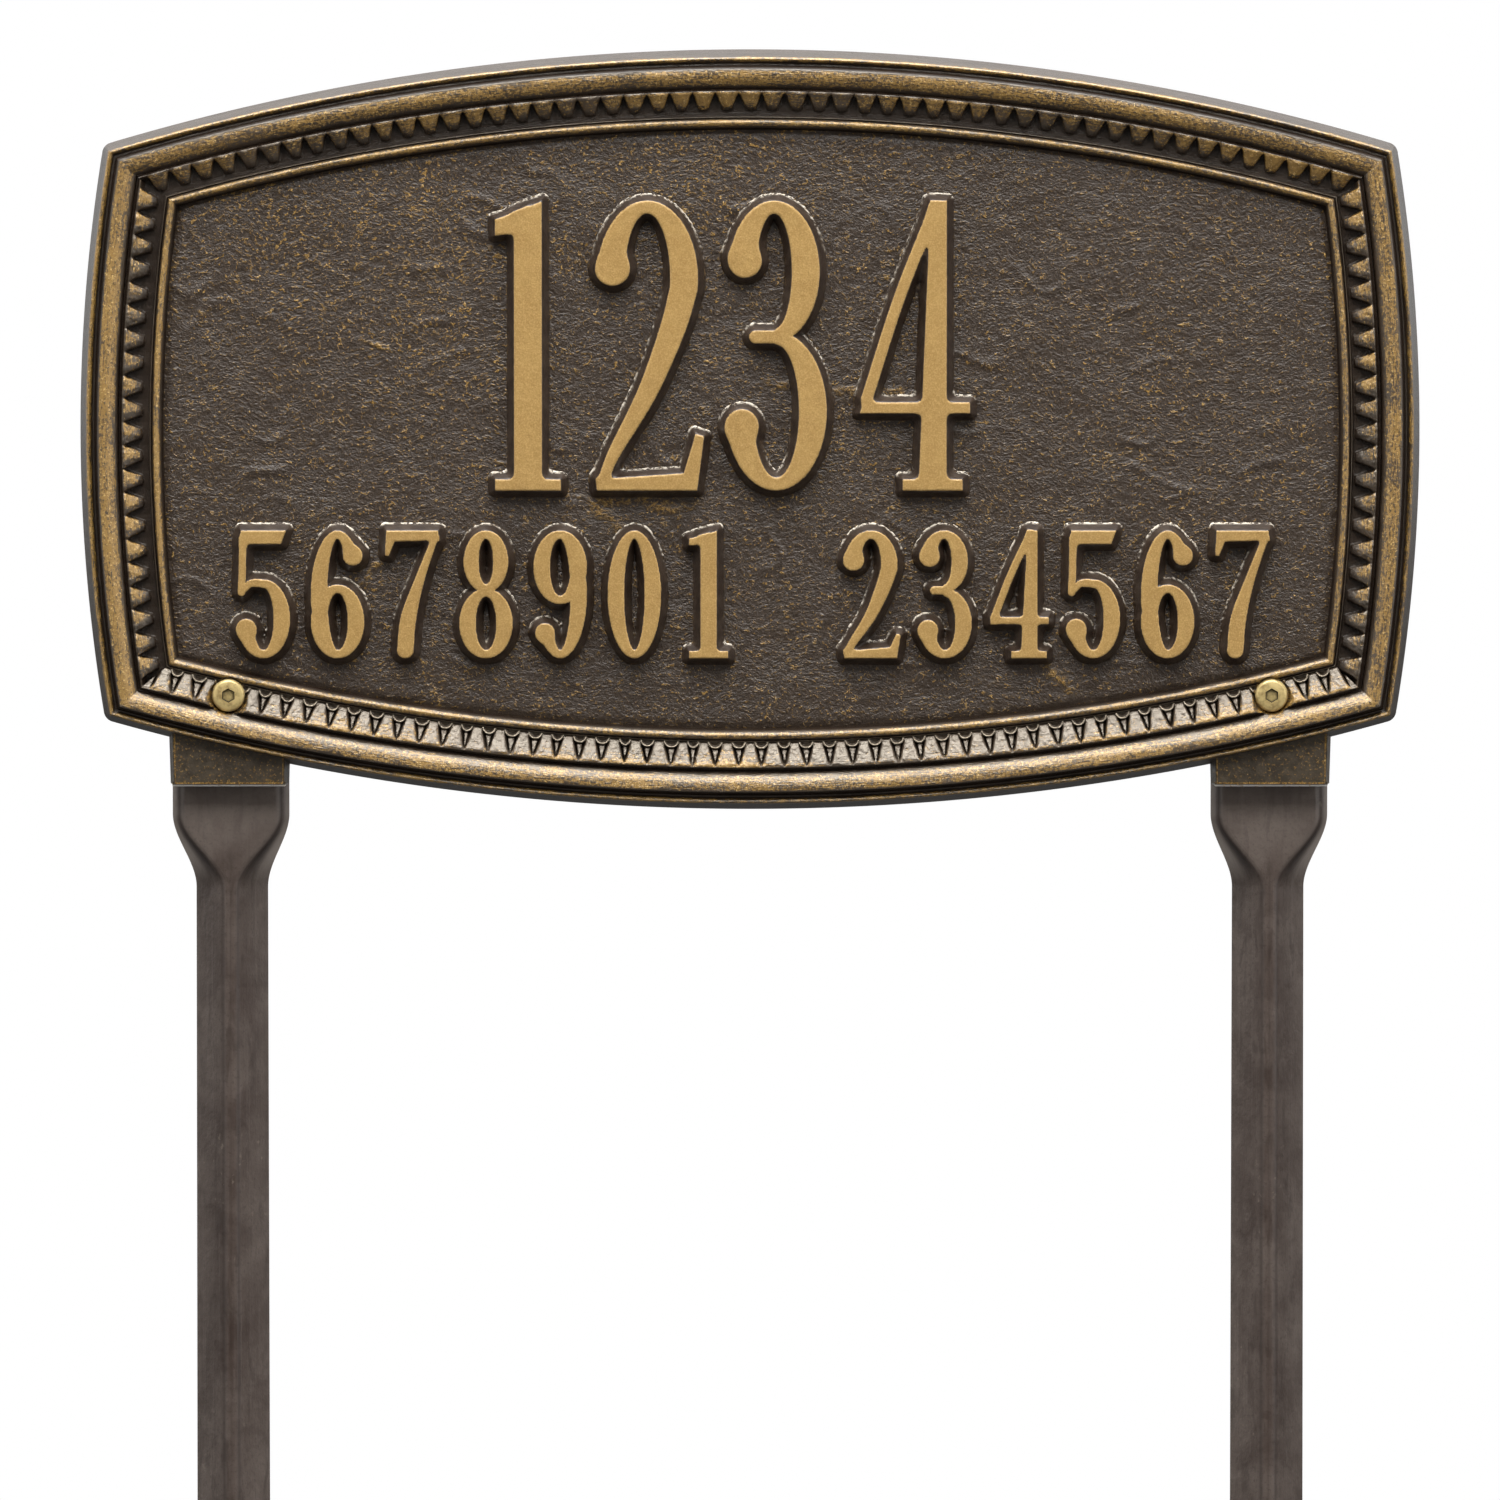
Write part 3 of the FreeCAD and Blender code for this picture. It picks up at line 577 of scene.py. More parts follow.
def moulding_shares(side):
    """Where along a side the moulding has a section: close together at its ends and by the screws."""
    length = side.half_chord * 2
    coarse, fine, end, near = 2.3, 0.3, 4.4, 7.5
    ends = np.arange(0, 4.1, 0.4) / length
    shares = np.linspace(0, 1, int(length / coarse) + 1)
    shares = np.concatenate([ends, shares[(shares > end / length) & (shares < 1 - end / length)], 1 - ends])
    if side.name == "bottom":
        length = (HALF_WIDTH - BAND_INSET) * 2
        screws = 0.5 + np.array([-STAKE_X, STAKE_X]) / length
        clear = np.abs(shares[:, None] - screws).min(1) > near / length
        beside = screws[:, None] + np.arange(-near, near + 0.01, fine) / length
        shares = np.concatenate([shares[clear], beside.ravel()])
    return np.sort(shares)[:-1]


def round_corners(places, insets, levels):
    """Rounds the plaque's corners at its back, and less and less up to its sharp front edge."""
    for number in range(4):
        middle, corner = mitre(SIDES[number], SIDES[(number + 1) % 4], np.array([CORNER_RADIUS, 0]))
        out = (corner - middle) / np.linalg.norm(corner - middle)
        away = places - middle
        far = np.linalg.norm(away, axis=-1)
        allowed = CORNER_RADIUS - insets
        share = np.clip(1 - levels / EDGE_LEVEL, 0, 1) * (insets < 2.2)
        share = share * (away @ out > 0.72 * far) * (far > allowed) * (far < 2 * CORNER_RADIUS)
        places = places + away * (share * (allowed / np.maximum(far, 1e-6) - 1))[..., None]
    return places


def build_moulding():
    """The frame's section carried round the four sides."""
    path, gold, bare, deep = moulding_section()
    insets = path[:, 0]
    rows, flows, gilts = [], [], []
    travelled = 0
    for side in SIDES:
        shares = moulding_shares(side)
        rows.append(side_grid(side, insets, shares)[0])
        along = travelled + shares[:, None] * side.half_chord * 2
        flows.append(np.stack(np.broadcast_arrays(along, insets, path[:, 1]), -1))
        gilts.append(np.broadcast_to(gold * side.gilding_and_light, rows[-1].shape[:2]))
        travelled += side.half_chord * 2
    places, flow, gilt = np.vstack(rows), np.vstack(flows), np.vstack(gilts)
    levels = np.broadcast_to(path[:, 1], places.shape[:2])
    places = round_corners(places, insets, levels)
    front = (levels > PANEL_LEVEL) & (np.arange(len(path)) < np.argmax(insets >= FRAME_INSET))
    run = flow[..., 0]
    uneven = gradient_noise(run / 5, insets / 2, 3) * 0.14 + gradient_noise(run / 16, 0, 4) * 0.1
    levels = np.minimum(levels + uneven * front, FACE_LEVEL)
    sunk = screw_cut(places, levels)
    gilt = np.where(front & (sunk < levels - 0.01), 0.95, gilt)
    levels = np.where(front, sunk, levels)
    return make_piece(
        "frame_moulding", to_points(places, levels), grid_quads(*levels.shape, ring=True, tube=True), FRAME_PAINT,
        sharp=50, closed=True,
        values={"gold": gilt, "bare": np.broadcast_to(bare, levels.shape),
                "deep": np.broadcast_to(deep, levels.shape), "flow": flow},
    )


def band_relief(along, across, cut, crowning):
    """Levels, gold, painted shade and glints of the band, by distance from a tooth's middle and the band's outer edge.
    """
    ridge = trace(across, (-0.5, 8.7), (-0.2, 9.6), (0.1, 10.5), (0.5, 10.9), (1.2, 10.9), (2.4, 10.3), (4.4, 9.3),
                  (6.2, 8.4), (6.7, 8.1), (7, 7))
    width = trace(across, (-0.4, 4.2), (0.3, 3.6), (1, 3.15), (1.7, 2.8), (2.2, 2.6), (3.5, 2.25), (5.4, 1.7),
                  (6.4, 1.45), (6.8, 1.25), (7, 0.8))
    floor = trace(across, (0, 9.4), (0.5, 9.6), (1.3, 9), (2, 7.3), (7.1, 6.9))
    # a stem in the gap between two teeth, and a hook with a dome in it at the gap's inner end
    from_gap = TOOTH_PITCH / 2 - np.abs(along)
    stem_half = trace(across, (1.2, 0.1), (2, 0.35), (3.4, 0.6), (4.9, 0.9), (5.1, 0))
    stem = smooth(stem_half - from_gap, -0.1, 0.15) * cut
    floor = floor + (np.maximum(trace(across, (1, 9.9), (5, 8.1)), floor) - floor) * stem
    away = np.hypot(from_gap, across - 7.2) / 1.75
    hook = 6.9 + 1.9 * bell(away - 1, 0.22)
    dome = (6.7 + 0.9 * np.sqrt(np.clip(1 - (away / 0.78) ** 2, 0, 1))) * (away < 0.78)
    floor = np.where(away < 1.3, floor + (np.maximum(hook, dome) - floor) * cut, floor)
    # the tooth on top, which ends short of the quirk on a plain band
    inside = width - np.abs(along) - 3 * (1 - cut) * smooth(across, 6.6, 7.1)
    shape = smooth(inside, -0.05, 0.3)
    crown = cut * 0.35 * np.clip(1 - inside / 1.3, 0, 1) ** 2
    crown = crown + (1 - cut) * crowning * np.clip(1 - inside / 2, 0, 1) ** 1.5
    level = floor + (np.maximum(ridge - crown, floor) - floor) * shape
    gold = shape * trace(across, (-0.2, 0), (0.3, 0.3), (0.8, 0.95), (2, 1), (3.2, 1), (4.4, 0.9), (5.4, 0.75),
                         (6.5, 0.55))
    gold = np.maximum(gold, 0.45 * stem)
    # gold on the bottom band's hook crests, partly a painted highlight
    gold = np.maximum(gold, 0.7 * cut * bell(away - 1, 0.2) * (1 - shape))
    # painted highlight on hook crests; painted shade in gaps, domes, plain teeth's tips and the band's outer edge
    glint = bell(away - 1, 0.17) * (across > 4.8) * cut
    grime = 0.6 * (1 - stem) * np.maximum(away > 1.25, 1 - cut) + 0.4 * (away < 0.7) * cut
    deep = (1 - shape) * (grime - glint) + (1 - cut) * 0.55 * smooth(across, 3.8, 6.2) * shape
    return level, gold, np.where(across < 0.3, 0.8, deep)


def build_teeth(side):
    """The toothed band along one side."""
    number = SIDES.index(side)
    insets = np.arange(side.teeth_start - 0.85, QUIRK_INSET + 0.1, BAND_CELL_ACROSS)
    cells = int((side.half_chord - BAND_INSET) * 2 / BAND_CELL_ALONG)
    places, turns = side_grid(side, insets, np.linspace(0, 1, cells))
    middle = side.radius - BAND_INSET
    travelled = turns * middle
    end = mitre(side, SIDES[(number + 1) % 4], np.array([side.teeth_start + 3.5]))
    half_run = float(side.turn_of(end)[0]) * middle
    teeth = round(half_run * 2 / TOOTH_PITCH)
    pitch = half_run * 2 / teeth
    tooth = np.clip(np.floor((travelled + half_run) / pitch), 0, teeth - 1)
    along = travelled + half_run - (tooth + 0.5) * pitch
    across = insets - side.teeth_start
    across = np.broadcast_to(np.where(across > 0, across * TOOTH_LENGTH / side.teeth_length, across), along.shape)
    # each tooth leans and grows a little in its own way
    unique = tooth + 100.37 * number
    lean = gradient_noise(unique * 1.7, 0.5, 11) * 0.6
    grow = 1 + gradient_noise(unique * 2.3, 0.5, 12) * 0.12
    along = along - lean * across / 6 * (np.abs(along) < pitch * 0.45)
    along = np.clip(along / pitch * TOOTH_PITCH, -TOOTH_PITCH / 2, TOOTH_PITCH / 2)
    levels, gold, deep = band_relief(along / grow, across, side.cut, side.crowning)
    gold = gold * (1 + gradient_noise(travelled / 35 + 90 * number, 0.5, 13) * 0.5) * side.gilding_and_light * TOOTH_GILDING
    # painted shade on each tooth's lower flank on the side bands: less gold and darker paint
    underside = smooth(along * side.underside, 0, 1.2)
    gold = gold * (1 - 0.3 * underside) * (1 - 0.25 * side.cut * smooth(across, 0.8, 2.4))
    deep = deep + 0.2 * underside * (1 - deep)
    x, z = places[..., 0], places[..., 1]
    rough = ripple(x, z, 0.8, 21, 0.16) + ripple(x, z, 2.2, 22, 0.22)
    levels = np.minimum(levels + rough * smooth(levels, 7, 9.5), TOOTH_LEVEL)
    # both edges lie under the moulding
    levels[:, 0], levels[:, -1] = 7.9, 5.6
    sunk = screw_cut(places, levels)
    gold = np.where(sunk < levels - 0.01, 0.95, gold)
    make_piece(
        f"tooth_band_{side.name}", to_points(places, sunk), grid_quads(*levels.shape), FRAME_PAINT, sharp=60,
        values={"gold": gold, "deep": deep, "flow": np.stack([travelled, across, levels], -1)},
    )


def panel_places(columns, rows):
    """A grid over the field that follows its four arcs."""
    edge = np.array([PANEL_INSET - 0.5])
    u, v = np.linspace(0, 1, columns), np.linspace(0, 1, rows)
    top, left, bottom, right = [side_grid(side, edge, shares)[0][:, 0] for side, shares in zip(SIDES, (u, v, u, v))]
    top, left = top[::-1], left[::-1]
    corners = bottom[0], bottom[-1], top[0], top[-1]
    u, v = u[None, :, None], v[:, None, None]
    blend = bottom[None] * (1 - v) + top[None] * v + left[:, None] * (1 - u) + right[:, None] * u
    pull = corners[0] * (1 - u) * (1 - v) + corners[1] * u * (1 - v) + corners[2] * (1 - u) * v + corners[3] * u * v
    return blend - pull


def field_relief(x, z):
    """Heights of the field's cast skin: pebbles over slow waves, and a few wrinkles."""
    skin = ripple(x, z, 1.9, 31, 0.10) + ripple(x, z, 3.6, 32, 0.12) + ripple(x, z, 17, 33, 0.14)
    bend_x, bend_z = x + ripple(x, z, 14, 34, 9), z + ripple(x, z, 14, 35, 9)
    fold = np.abs(gradient_noise(bend_x / 26, bend_z / 20, 36))
    return skin + (1 - smooth(fold, 0, 0.05)) * smooth(ripple(x, z, 24, 37, 1), 0.05, 0.25) * 0.34


def build_panel():
    """The field between the beads, closed at the back."""
    columns, rows, back_columns, back_rows = 376, 192, 19, 12
    places = panel_places(columns, rows)
    row, column = np.indices(places.shape[:2])
    margin = np.minimum(np.minimum(row, rows - 1 - row), np.minimum(column, columns - 1 - column))
    levels = PANEL_LEVEL + field_relief(places[..., 0], places[..., 1]) - 0.7 * (1 - smooth(margin, 0, 3))
    make_piece("sign_field", to_points(places, levels), grid_quads(rows, columns)[:, ::-1], PANEL_PAINT, sharp=60)
    coarse = panel_places(back_columns, back_rows)
    rear = to_points(coarse, np.full(coarse.shape[:2], BACK_LEVEL + 0.05))
    make_piece("field_back", rear, grid_quads(back_rows, back_columns), BACK_PAINT)


def build_lug(name, x):
    """A lug with its seat and the ribs beside the stake's head."""
    work = bmesh.new()

    def block(middle, *faces):
        """A block between two upright faces: (y, half width at its foot, at its head, z of its foot, of its head)."""
        made = [work.verts.new(Vector((middle + side * half, y, z)) * MM)
                for y, foot, head, low, high in faces
                for side, half, z in ((-1, foot, low), (1, foot, low), (1, head, high), (-1, head, high))]
        for face in ((0, 1, 2, 3), (7, 6, 5, 4), (0, 4, 5, 1), (1, 5, 6, 2), (2, 6, 7, 3), (3, 7, 4, 0)):
            work.faces.new([made[i] for i in face])

    def cuboid(middle, half, front, rear, low, high):
        block(middle, (front, half, half, low, high), (rear, half, half, low, high))

    foot, head = LUG_HALF_WIDTH, LUG_HALF_WIDTH + 0.5
    block(x, (-LUG_LEVEL, foot - LUG_DRAFT, head - LUG_DRAFT, LUG_Z + LUG_LIP, LUG_TOP_Z),
          (0, foot, head, LUG_Z + 0.3, LUG_TOP_Z))
    cuboid(x, LUG_HALF_WIDTH - 0.8, 0.3 - LUG_LEVEL, -0.3, LUG_Z, LUG_Z + 1.6)
    cuboid(x, SEAT_HALF_WIDTH, -SEAT_LEVEL, -0.01, SEAT_Z, SEAT_TOP_Z)
    for side in (-1, 1):
        middle = x + side * (SEAT_HALF_WIDTH - RIB_WIDTH / 2)
        cuboid(middle, RIB_WIDTH / 2, -1, RIB_DEPTH, RIB_Z, SEAT_TOP_Z)
    bmesh.ops.recalc_face_normals(work, faces=work.faces)
    bmesh.ops.bevel(work, geom=work.edges[:], offset=0.25 * MM, segments=2, affect="EDGES")
    mesh = bpy.data.meshes.new(name)
    work.to_mesh(mesh)
    work.free()
    add_piece(name, mesh, LUG_PAINT, 40)


# ---------- numerals

def bowl(x, y, wide, high, start, end, thick, thin):
    """A line of (x, y, half width) between two ellipses, heavy at its sides, from one angle to another."""
    line = []
    for turn in np.radians(np.linspace(start, end, int(abs(end - start) / 7) + 2)):
        across, up = math.cos(turn), math.sin(turn)
        outer = np.array([wide * across, high * up])
        inner = np.array([(wide - 2 * thick) * across, (high - 2 * thin) * up])
        middle = (outer + inner) / 2
        line.append((x + middle[0], y + middle[1], np.linalg.norm(outer - inner) / 2))
    return line


def curve(controls):
    """A smooth line through (x, y, half width) controls."""
    c = np.array(controls, float)
    c = np.vstack([2 * c[0] - c[1], c, 2 * c[-1] - c[-2]])
    points = []
    for number in range(1, len(c) - 2):
        before, start, end, after = c[number - 1:number + 3]
        for share in np.arange(0, 1, 0.125):
            points.append(0.5 * (2 * start + (end - before) * share
                                 + (2 * before - 5 * start + 4 * end - after) * share ** 2
                                 + (3 * start - before - 3 * end + after) * share ** 3))
    return [tuple(p) for p in points] + [tuple(c[-2])]


def draw_numeral(numeral, w, h, thick, thin):
    """A numeral's lines of (x, y, half width), its balls (x, y, radius) and its slabs, w wide to each side."""
    ball, slab = thick * 1.18, thin * 1.75
    upper_ball, lower_ball = (-w * 0.94 + ball, h * 0.79, ball), (-w + ball, h * 0.225, ball)

    def ring(y, wide, high, start=0, end=360, x=0, heavy=thick):
        return bowl(x * w, y * h, wide * w, high * h, start, end, heavy, thin)

    def serif(x, half):
        return [(x - half, 0), (x + half, 0), (x + half, slab), (x - half, slab)]

    if numeral == "0":
        return [ring(0.5, 1, 0.5)], [], []
    if numeral == "1":
        stem = [(-thick, slab / 2), (thick, slab / 2), (thick, h), (-thick, h * 0.955)]
        flag = [(0, h * 0.89), (-thick * 2.3, h * 0.875), (-thick * 2.3, h * 0.935), (0, h * 0.975)]
        return [], [], [stem, flag, serif(0, thick * 2.3)]
    if numeral == "2":
        top = ring(0.73, 1, 0.27, 172, -8)
        x, y, half = top[-1]
        tail = curve([(x, y, half), (x - w * 0.22, y - h * 0.14, half * 0.92), (0, h * 0.34, thick * 0.72),
                      (-w * 0.62, h * 0.14, thin), (-w * 0.86, slab, thin * 0.8)])
        foot = [(-w, 0), (w * 0.98, 0), (w * 1.12, h * 0.19), (w * 0.93, h * 0.2), (w * 0.7, slab * 1.5), (-w, slab)]
        return [top, tail], [(-w + ball, h * 0.765, ball)], [foot]
    if numeral == "3":
        top = ring(0.755, 0.9, 0.245, 165, -80, x=-0.04)
        low = ring(0.275, 1, 0.275, 85, -165)
        waist = [(-w * 0.4, h * 0.53, thin), (w * 0.1, h * 0.53, thin)]
        return [top, low, waist], [upper_ball, lower_ball], []
    if numeral == "4":
        hair = thin * 0.9
        slope = curve([(w * 0.38, h * 0.965, hair), (-w * 0.3, h * 0.66, hair), (-w * 0.92, h * 0.32, hair)])
        low, high = h * 0.265, h * 0.265 + slab
        bar = [(-w * 1.08, low), (w * 1.1, low), (w * 1.1, high), (-w, high)]
        x = w * 0.36
        stem = [(x - thick, slab / 2), (x + thick, slab / 2), (x + thick, h), (x - thick * 0.2, h)]
        return [slope], [], [bar, stem, serif(x, thick * 2.1)]
    if numeral == "5":
        low = ring(0.31, 1, 0.31, 84, -165)
        back = [(-w * 0.74, h * 0.93, thin * 0.9), (-w * 0.8, h * 0.515, thin * 0.9)]
        lead = curve([(-w * 0.8, h * 0.515, thin * 0.7), (-w * 0.45, h * 0.585, thin * 0.9), low[0]])
        bar = [(-w * 0.86, h * 0.885), (w * 0.66, h * 0.885), (w * 0.86, h), (-w * 0.84, h)]
        return [low, lead, back], [lower_ball], [bar]
    if numeral in "69":
        spine = ring(0.5, 1, 0.5, 38, 270)
        low = ring(0.29, 1, 0.29)
        lines, balls = [spine[2:], low], [(w * 0.94 - ball, h * 0.8, ball)]
        if numeral == "9":
            lines = [[(-x, h - y, half) for x, y, half in line] for line in lines]
            balls = [(-x, h - y, radius) for x, y, radius in balls]
        return lines, balls, []
    if numeral == "7":
        leg = curve([(w * 0.84, h * 0.93, thin * 0.8), (w * 0.3, h * 0.62, thick * 0.6),
                     (-w * 0.12, h * 0.32, thick * 0.95), (-w * 0.24, thick, thick)])
        bar = [(-w, h * 0.8), (-w * 0.84, h * 0.79), (-w * 0.62, h - slab * 1.5), (w, h - slab * 1.3), (w, h),
               (-w * 0.96, h)]
        return [leg], [], [bar]
    return [ring(0.755, 0.84, 0.245, heavy=thick * 0.92), ring(0.275, 1, 0.275)], [], []


def line_distance(x, y, points):
    """Signed distance to a line of changing half width."""
    best = np.full(x.shape, 1e9)
    for (x0, y0, r0), (x1, y1, r1) in zip(points, points[1:]):
        dx, dy = x1 - x0, y1 - y0
        share = np.clip(((x - x0) * dx + (y - y0) * dy) / max(dx * dx + dy * dy, 1e-12), 0, 1)
        best = np.minimum(best, np.hypot(x - x0 - share * dx, y - y0 - share * dy) - r0 - share * (r1 - r0))
    return best


def polygon_distance(x, y, corners):
    """Signed distance to a polygon."""
    best = np.full(x.shape, 1e18)
    inside = np.zeros(x.shape, bool)
    for (x0, y0), (x1, y1) in zip(corners, corners[1:] + corners[:1]):
        dx, dy = x1 - x0, y1 - y0
        share = np.clip(((x - x0) * dx + (y - y0) * dy) / (dx * dx + dy * dy), 0, 1)
        best = np.minimum(best, (x - x0 - share * dx) ** 2 + (y - y0 - share * dy) ** 2)
        at = x0 + (y - y0) * dx / (dy if dy else 1e-12)
        inside ^= ((y0 > y) != (y1 > y)) & (x < at)
    return np.sqrt(best) * np.where(inside, -1, 1)


def soft_union(first, second, radius):
    blend = np.maximum(radius - np.abs(first - second), 0) / radius
    return np.minimum(first, second) - blend * blend * radius / 4


def numeral_distance(x, y, drawing, thin):
    """Signed distance in millimetres to the edge of a numeral's face."""
    lines, balls, slabs = drawing
    distance = np.full(x.shape, 1e9)
    for line in lines:
        distance = np.minimum(distance, line_distance(x, y, line))
    for cx, cy, radius in balls:
        distance = soft_union(distance, np.hypot(x - cx, y - cy) - radius, thin)
    for corners in slabs:
        distance = soft_union(distance, polygon_distance(x, y, corners), thin)
    return distance


def build_numeral(name, numeral, x, base, width, height, thick, thin, cell):
    """A raised numeral: a face with eased edges, drafted walls and a rough root that runs out into the field."""
    margin = NUMERAL_WALL + NUMERAL_ROOT + 0.4
    half = width / 2 * 1.12 + margin
    columns, rows = int(2 * half / cell) + 1, int((height + 2 * margin) / cell) + 1
    u, v = np.meshgrid(np.linspace(-half, half, columns), np.linspace(-margin, height + margin, rows))
    drawing = draw_numeral(numeral, width / 2, height, thick, thin)

    def distance_at(du, dv):
        return numeral_distance(u + du, v + dv, drawing, thin)

    # points close to the face's edge, the eased edge's end or the wall's foot are drawn onto it
    distance, step = distance_at(0, 0), 0.02
    slope_u = (distance_at(step, 0) - distance_at(-step, 0)) / step / 2
    slope_v = (distance_at(0, step) - distance_at(0, -step)) / step / 2
    for target in (0, -NUMERAL_EDGE, NUMERAL_WALL):
        near = np.abs(distance - target) < cell * 0.55
        shift = np.where(near, target - distance, 0)
        u, v = u + slope_u * shift, v + slope_v * shift
        distance = np.where(near, target, distance)
    top, edge = PANEL_LEVEL + NUMERAL_RELIEF, 0.3
    rough = ripple(u + x, v, 2.6, 41, 0.5) + ripple(u + x, v, 0.9, 43, 0.5)
    face = top - edge * (1 - np.sqrt(np.clip(1 - np.clip(1 + distance / NUMERAL_EDGE, 0, 1) ** 2, 0, 1)))
    lowest = PANEL_LEVEL + 0.5 + 0.5 * rough
    slope = top - edge + (lowest - top + edge) * np.clip(distance / NUMERAL_WALL, 0, 1)
    spread = np.clip((distance - NUMERAL_WALL) / NUMERAL_ROOT, 0, 1)
    foot = lowest - (lowest - PANEL_LEVEL + 0.4) * (1 - (1 - spread) ** 2) + 0.8 * rough * (spread > 0) * (1 - spread)
    levels = np.where(distance < 0, face, np.where(distance < NUMERAL_WALL, slope, foot))
    levels = levels + (distance < -0.3) * ripple(u + x, v, 6, 42, 0.08)
    quads = grid_quads(rows, columns)[:, ::-1]
    quads = quads[(distance.ravel()[quads] < NUMERAL_WALL + NUMERAL_ROOT).any(1)]
    used, packed = np.unique(quads, return_inverse=True)
    places = np.stack([u + x, v + base - PLAQUE_Z], -1)
    values = {"gold": smooth(-distance, -0.05, 0.3).ravel()[used],
              "root": smooth(distance, NUMERAL_WALL - 0.25, NUMERAL_WALL + 0.15).ravel()[used]}
    make_piece(name, to_points(places, levels)[used], packed.reshape(-1, 4), NUMERAL_PAINT, sharp=50, values=values)


def build_numerals():
    """A tall upper row and two groups in a lower row."""
    upper = {"width": 27.5, "height": 78, "thick": 3.9, "thin": 1.9, "cell": 0.38}
    lower = {"width": 14.6, "height": 34.6, "thick": 2.35, "thin": 1.25, "cell": 0.28}
    spacing = 19.9
    groups = [-130.5 + spacing * step for step in range(7)] + [32.4 + spacing * step for step in range(6)]
    for row, numerals, places, base, sizes in (
        ("upper", "1234", (-59.5, -27.5, 7, 44), PLAQUE_Z - 15.4, upper),
        ("lower", "5678901234567", groups, PLAQUE_Z - 60.4, lower),
    ):
        for number, (numeral, x) in enumerate(zip(numerals, places), 1):
            build_numeral(f"{row}_numeral_{number}", numeral, x, base, **sizes)


# ---------- stakes and fasteners

def stake_outline(web, half, depth):
    """The folded strip in plan as a closed path, one gauge thick, with rounded folds and edges."""
    run = half - web
    flank = math.hypot(run, depth)
    edge = STAKE_GAUGE * flank / depth
    inner = web - STAKE_GAUGE * (flank - run) / depth
    outside = min(FOLD_RADIUS, web * 0.9)
    path = rounded_path([
        (-half, depth, 0.5), (-web, 0, outside), (web, 0, outside), (half, depth, 0.5), (half - edge, depth, 0.5),
        (inner, STAKE_GAUGE, 0.7), (-inner, STAKE_GAUGE, 0.7), (edge - half, depth, 0.5),
    ], steps=5, closed=True)
    quarters = np.arange(0, 1, 0.25)[:, None]
    return np.vstack([start + (end - start) * quarters for start, end in zip(path, np.roll(path, -1, 0))])


def build_stake(name, x):
    """One stake, lofted from its head down to its point."""
    neck_z, point_z = SHOULDER_Z - SHOULDER_LENGTH, TIP_Z + POINT_LENGTH
    spread, tip_half, point_half = 0.4, 1.75, 10.1
    heights = np.concatenate([
        np.linspace(HEAD_Z, SHOULDER_Z, 10)[:-1], np.linspace(SHOULDER_Z, neck_z, 41)[:-1],
        np.linspace(neck_z, point_z, 14)[:-1], np.linspace(point_z, TIP_Z + 0.4, 16), [TIP_Z],
    ])
    rings, folds, painted_lights = [], [], []
    for z in heights:
        share = float(smooth(np.array((SHOULDER_Z - z) / SHOULDER_LENGTH), 0, 1))
        web, half, depth = [head + (blade - head) * share
                            for head, blade in (WEB_HALF_WIDTHS, STRIP_HALF_WIDTHS, FOLD_DEPTHS)]
        half += spread * min(max((neck_z - z) / (neck_z - TIP_Z), 0), 1)
        limit = min(half, tip_half + (point_half - tip_half) * max(z - TIP_Z, 0) / POINT_LENGTH)
        if limit < half:
            depth *= max((limit - web) / (half - web), 0.12)
            half = limit
        outline = stake_outline(web, half, depth)
        rings.append(np.column_stack([outline[:, 0] + x, outline[:, 1], np.full(len(outline), z)]))
        # painted shade at the folds and painted light on the flanges, strongest in the neck, and on the head's web
        aside = np.abs(outline[:, 0])
        out = (aside - web) / (half - web)
        neck = 4 * share * (1 - share)
        seen = outline[:, 1] < depth - 0.2
        line = 0.6 * bell(aside - web, 0.4) + 0.25 * share * bell(aside, 0.3)
        folds.append(seen * np.maximum(line, bell(out - 0.12, 0.16) * (0.3 + 0.65 * neck - 0.3 * share)))
        painted_lights.append(seen * smooth(out, 0.25, 0.7) * (0.3 + 0.7 * neck - 0.25 * share)
                     + 0.14 * (1 - share) * (aside < web))
    rings = np.array(rings)
    rings[0, :, 1] = np.clip(rings[0, :, 1], 0.3, None)
    rows, columns = rings.shape[:2]
    steps = np.arange(columns // 2 - 1)
    quads = [grid_quads(rows, columns, tube=True)]
    for row in (0, rows - 1):
        first, last = row * columns + steps, (row + 1) * columns - 1 - steps
        quads.append(np.stack([first, first + 1, last - 1, last], 1))
    return make_piece(name, rings, np.vstack(quads), STAKE_PAINT, sharp=60, closed=True,
                      values={"fold": np.ravel(folds), "pale": np.ravel(painted_lights)})


def spin(name, x, turns, rings, material, sharp, ring=False, values=None, weld=False):
    """A piece about a screw's axis, from rings of (radius, y), each one number or one for each turn."""
    points = [np.column_stack([x + r * np.cos(turns), y + 0 * turns, SCREW_Z + r * np.sin(turns)]) for r, y in rings]
    quads = grid_quads(len(rings), len(turns), ring=ring, tube=True)
    return make_piece(name, points, quads, material, sharp, values, closed=True, weld=weld)


def full_turn(count):
    return np.linspace(0, 2 * np.pi, count, endpoint=False)


def hexagon(turns, flat):
    """The radius of a hexagon, half its width across flats being flat."""
    return flat / np.cos((turns + np.pi / 6) % (np.pi / 3) - np.pi / 6)


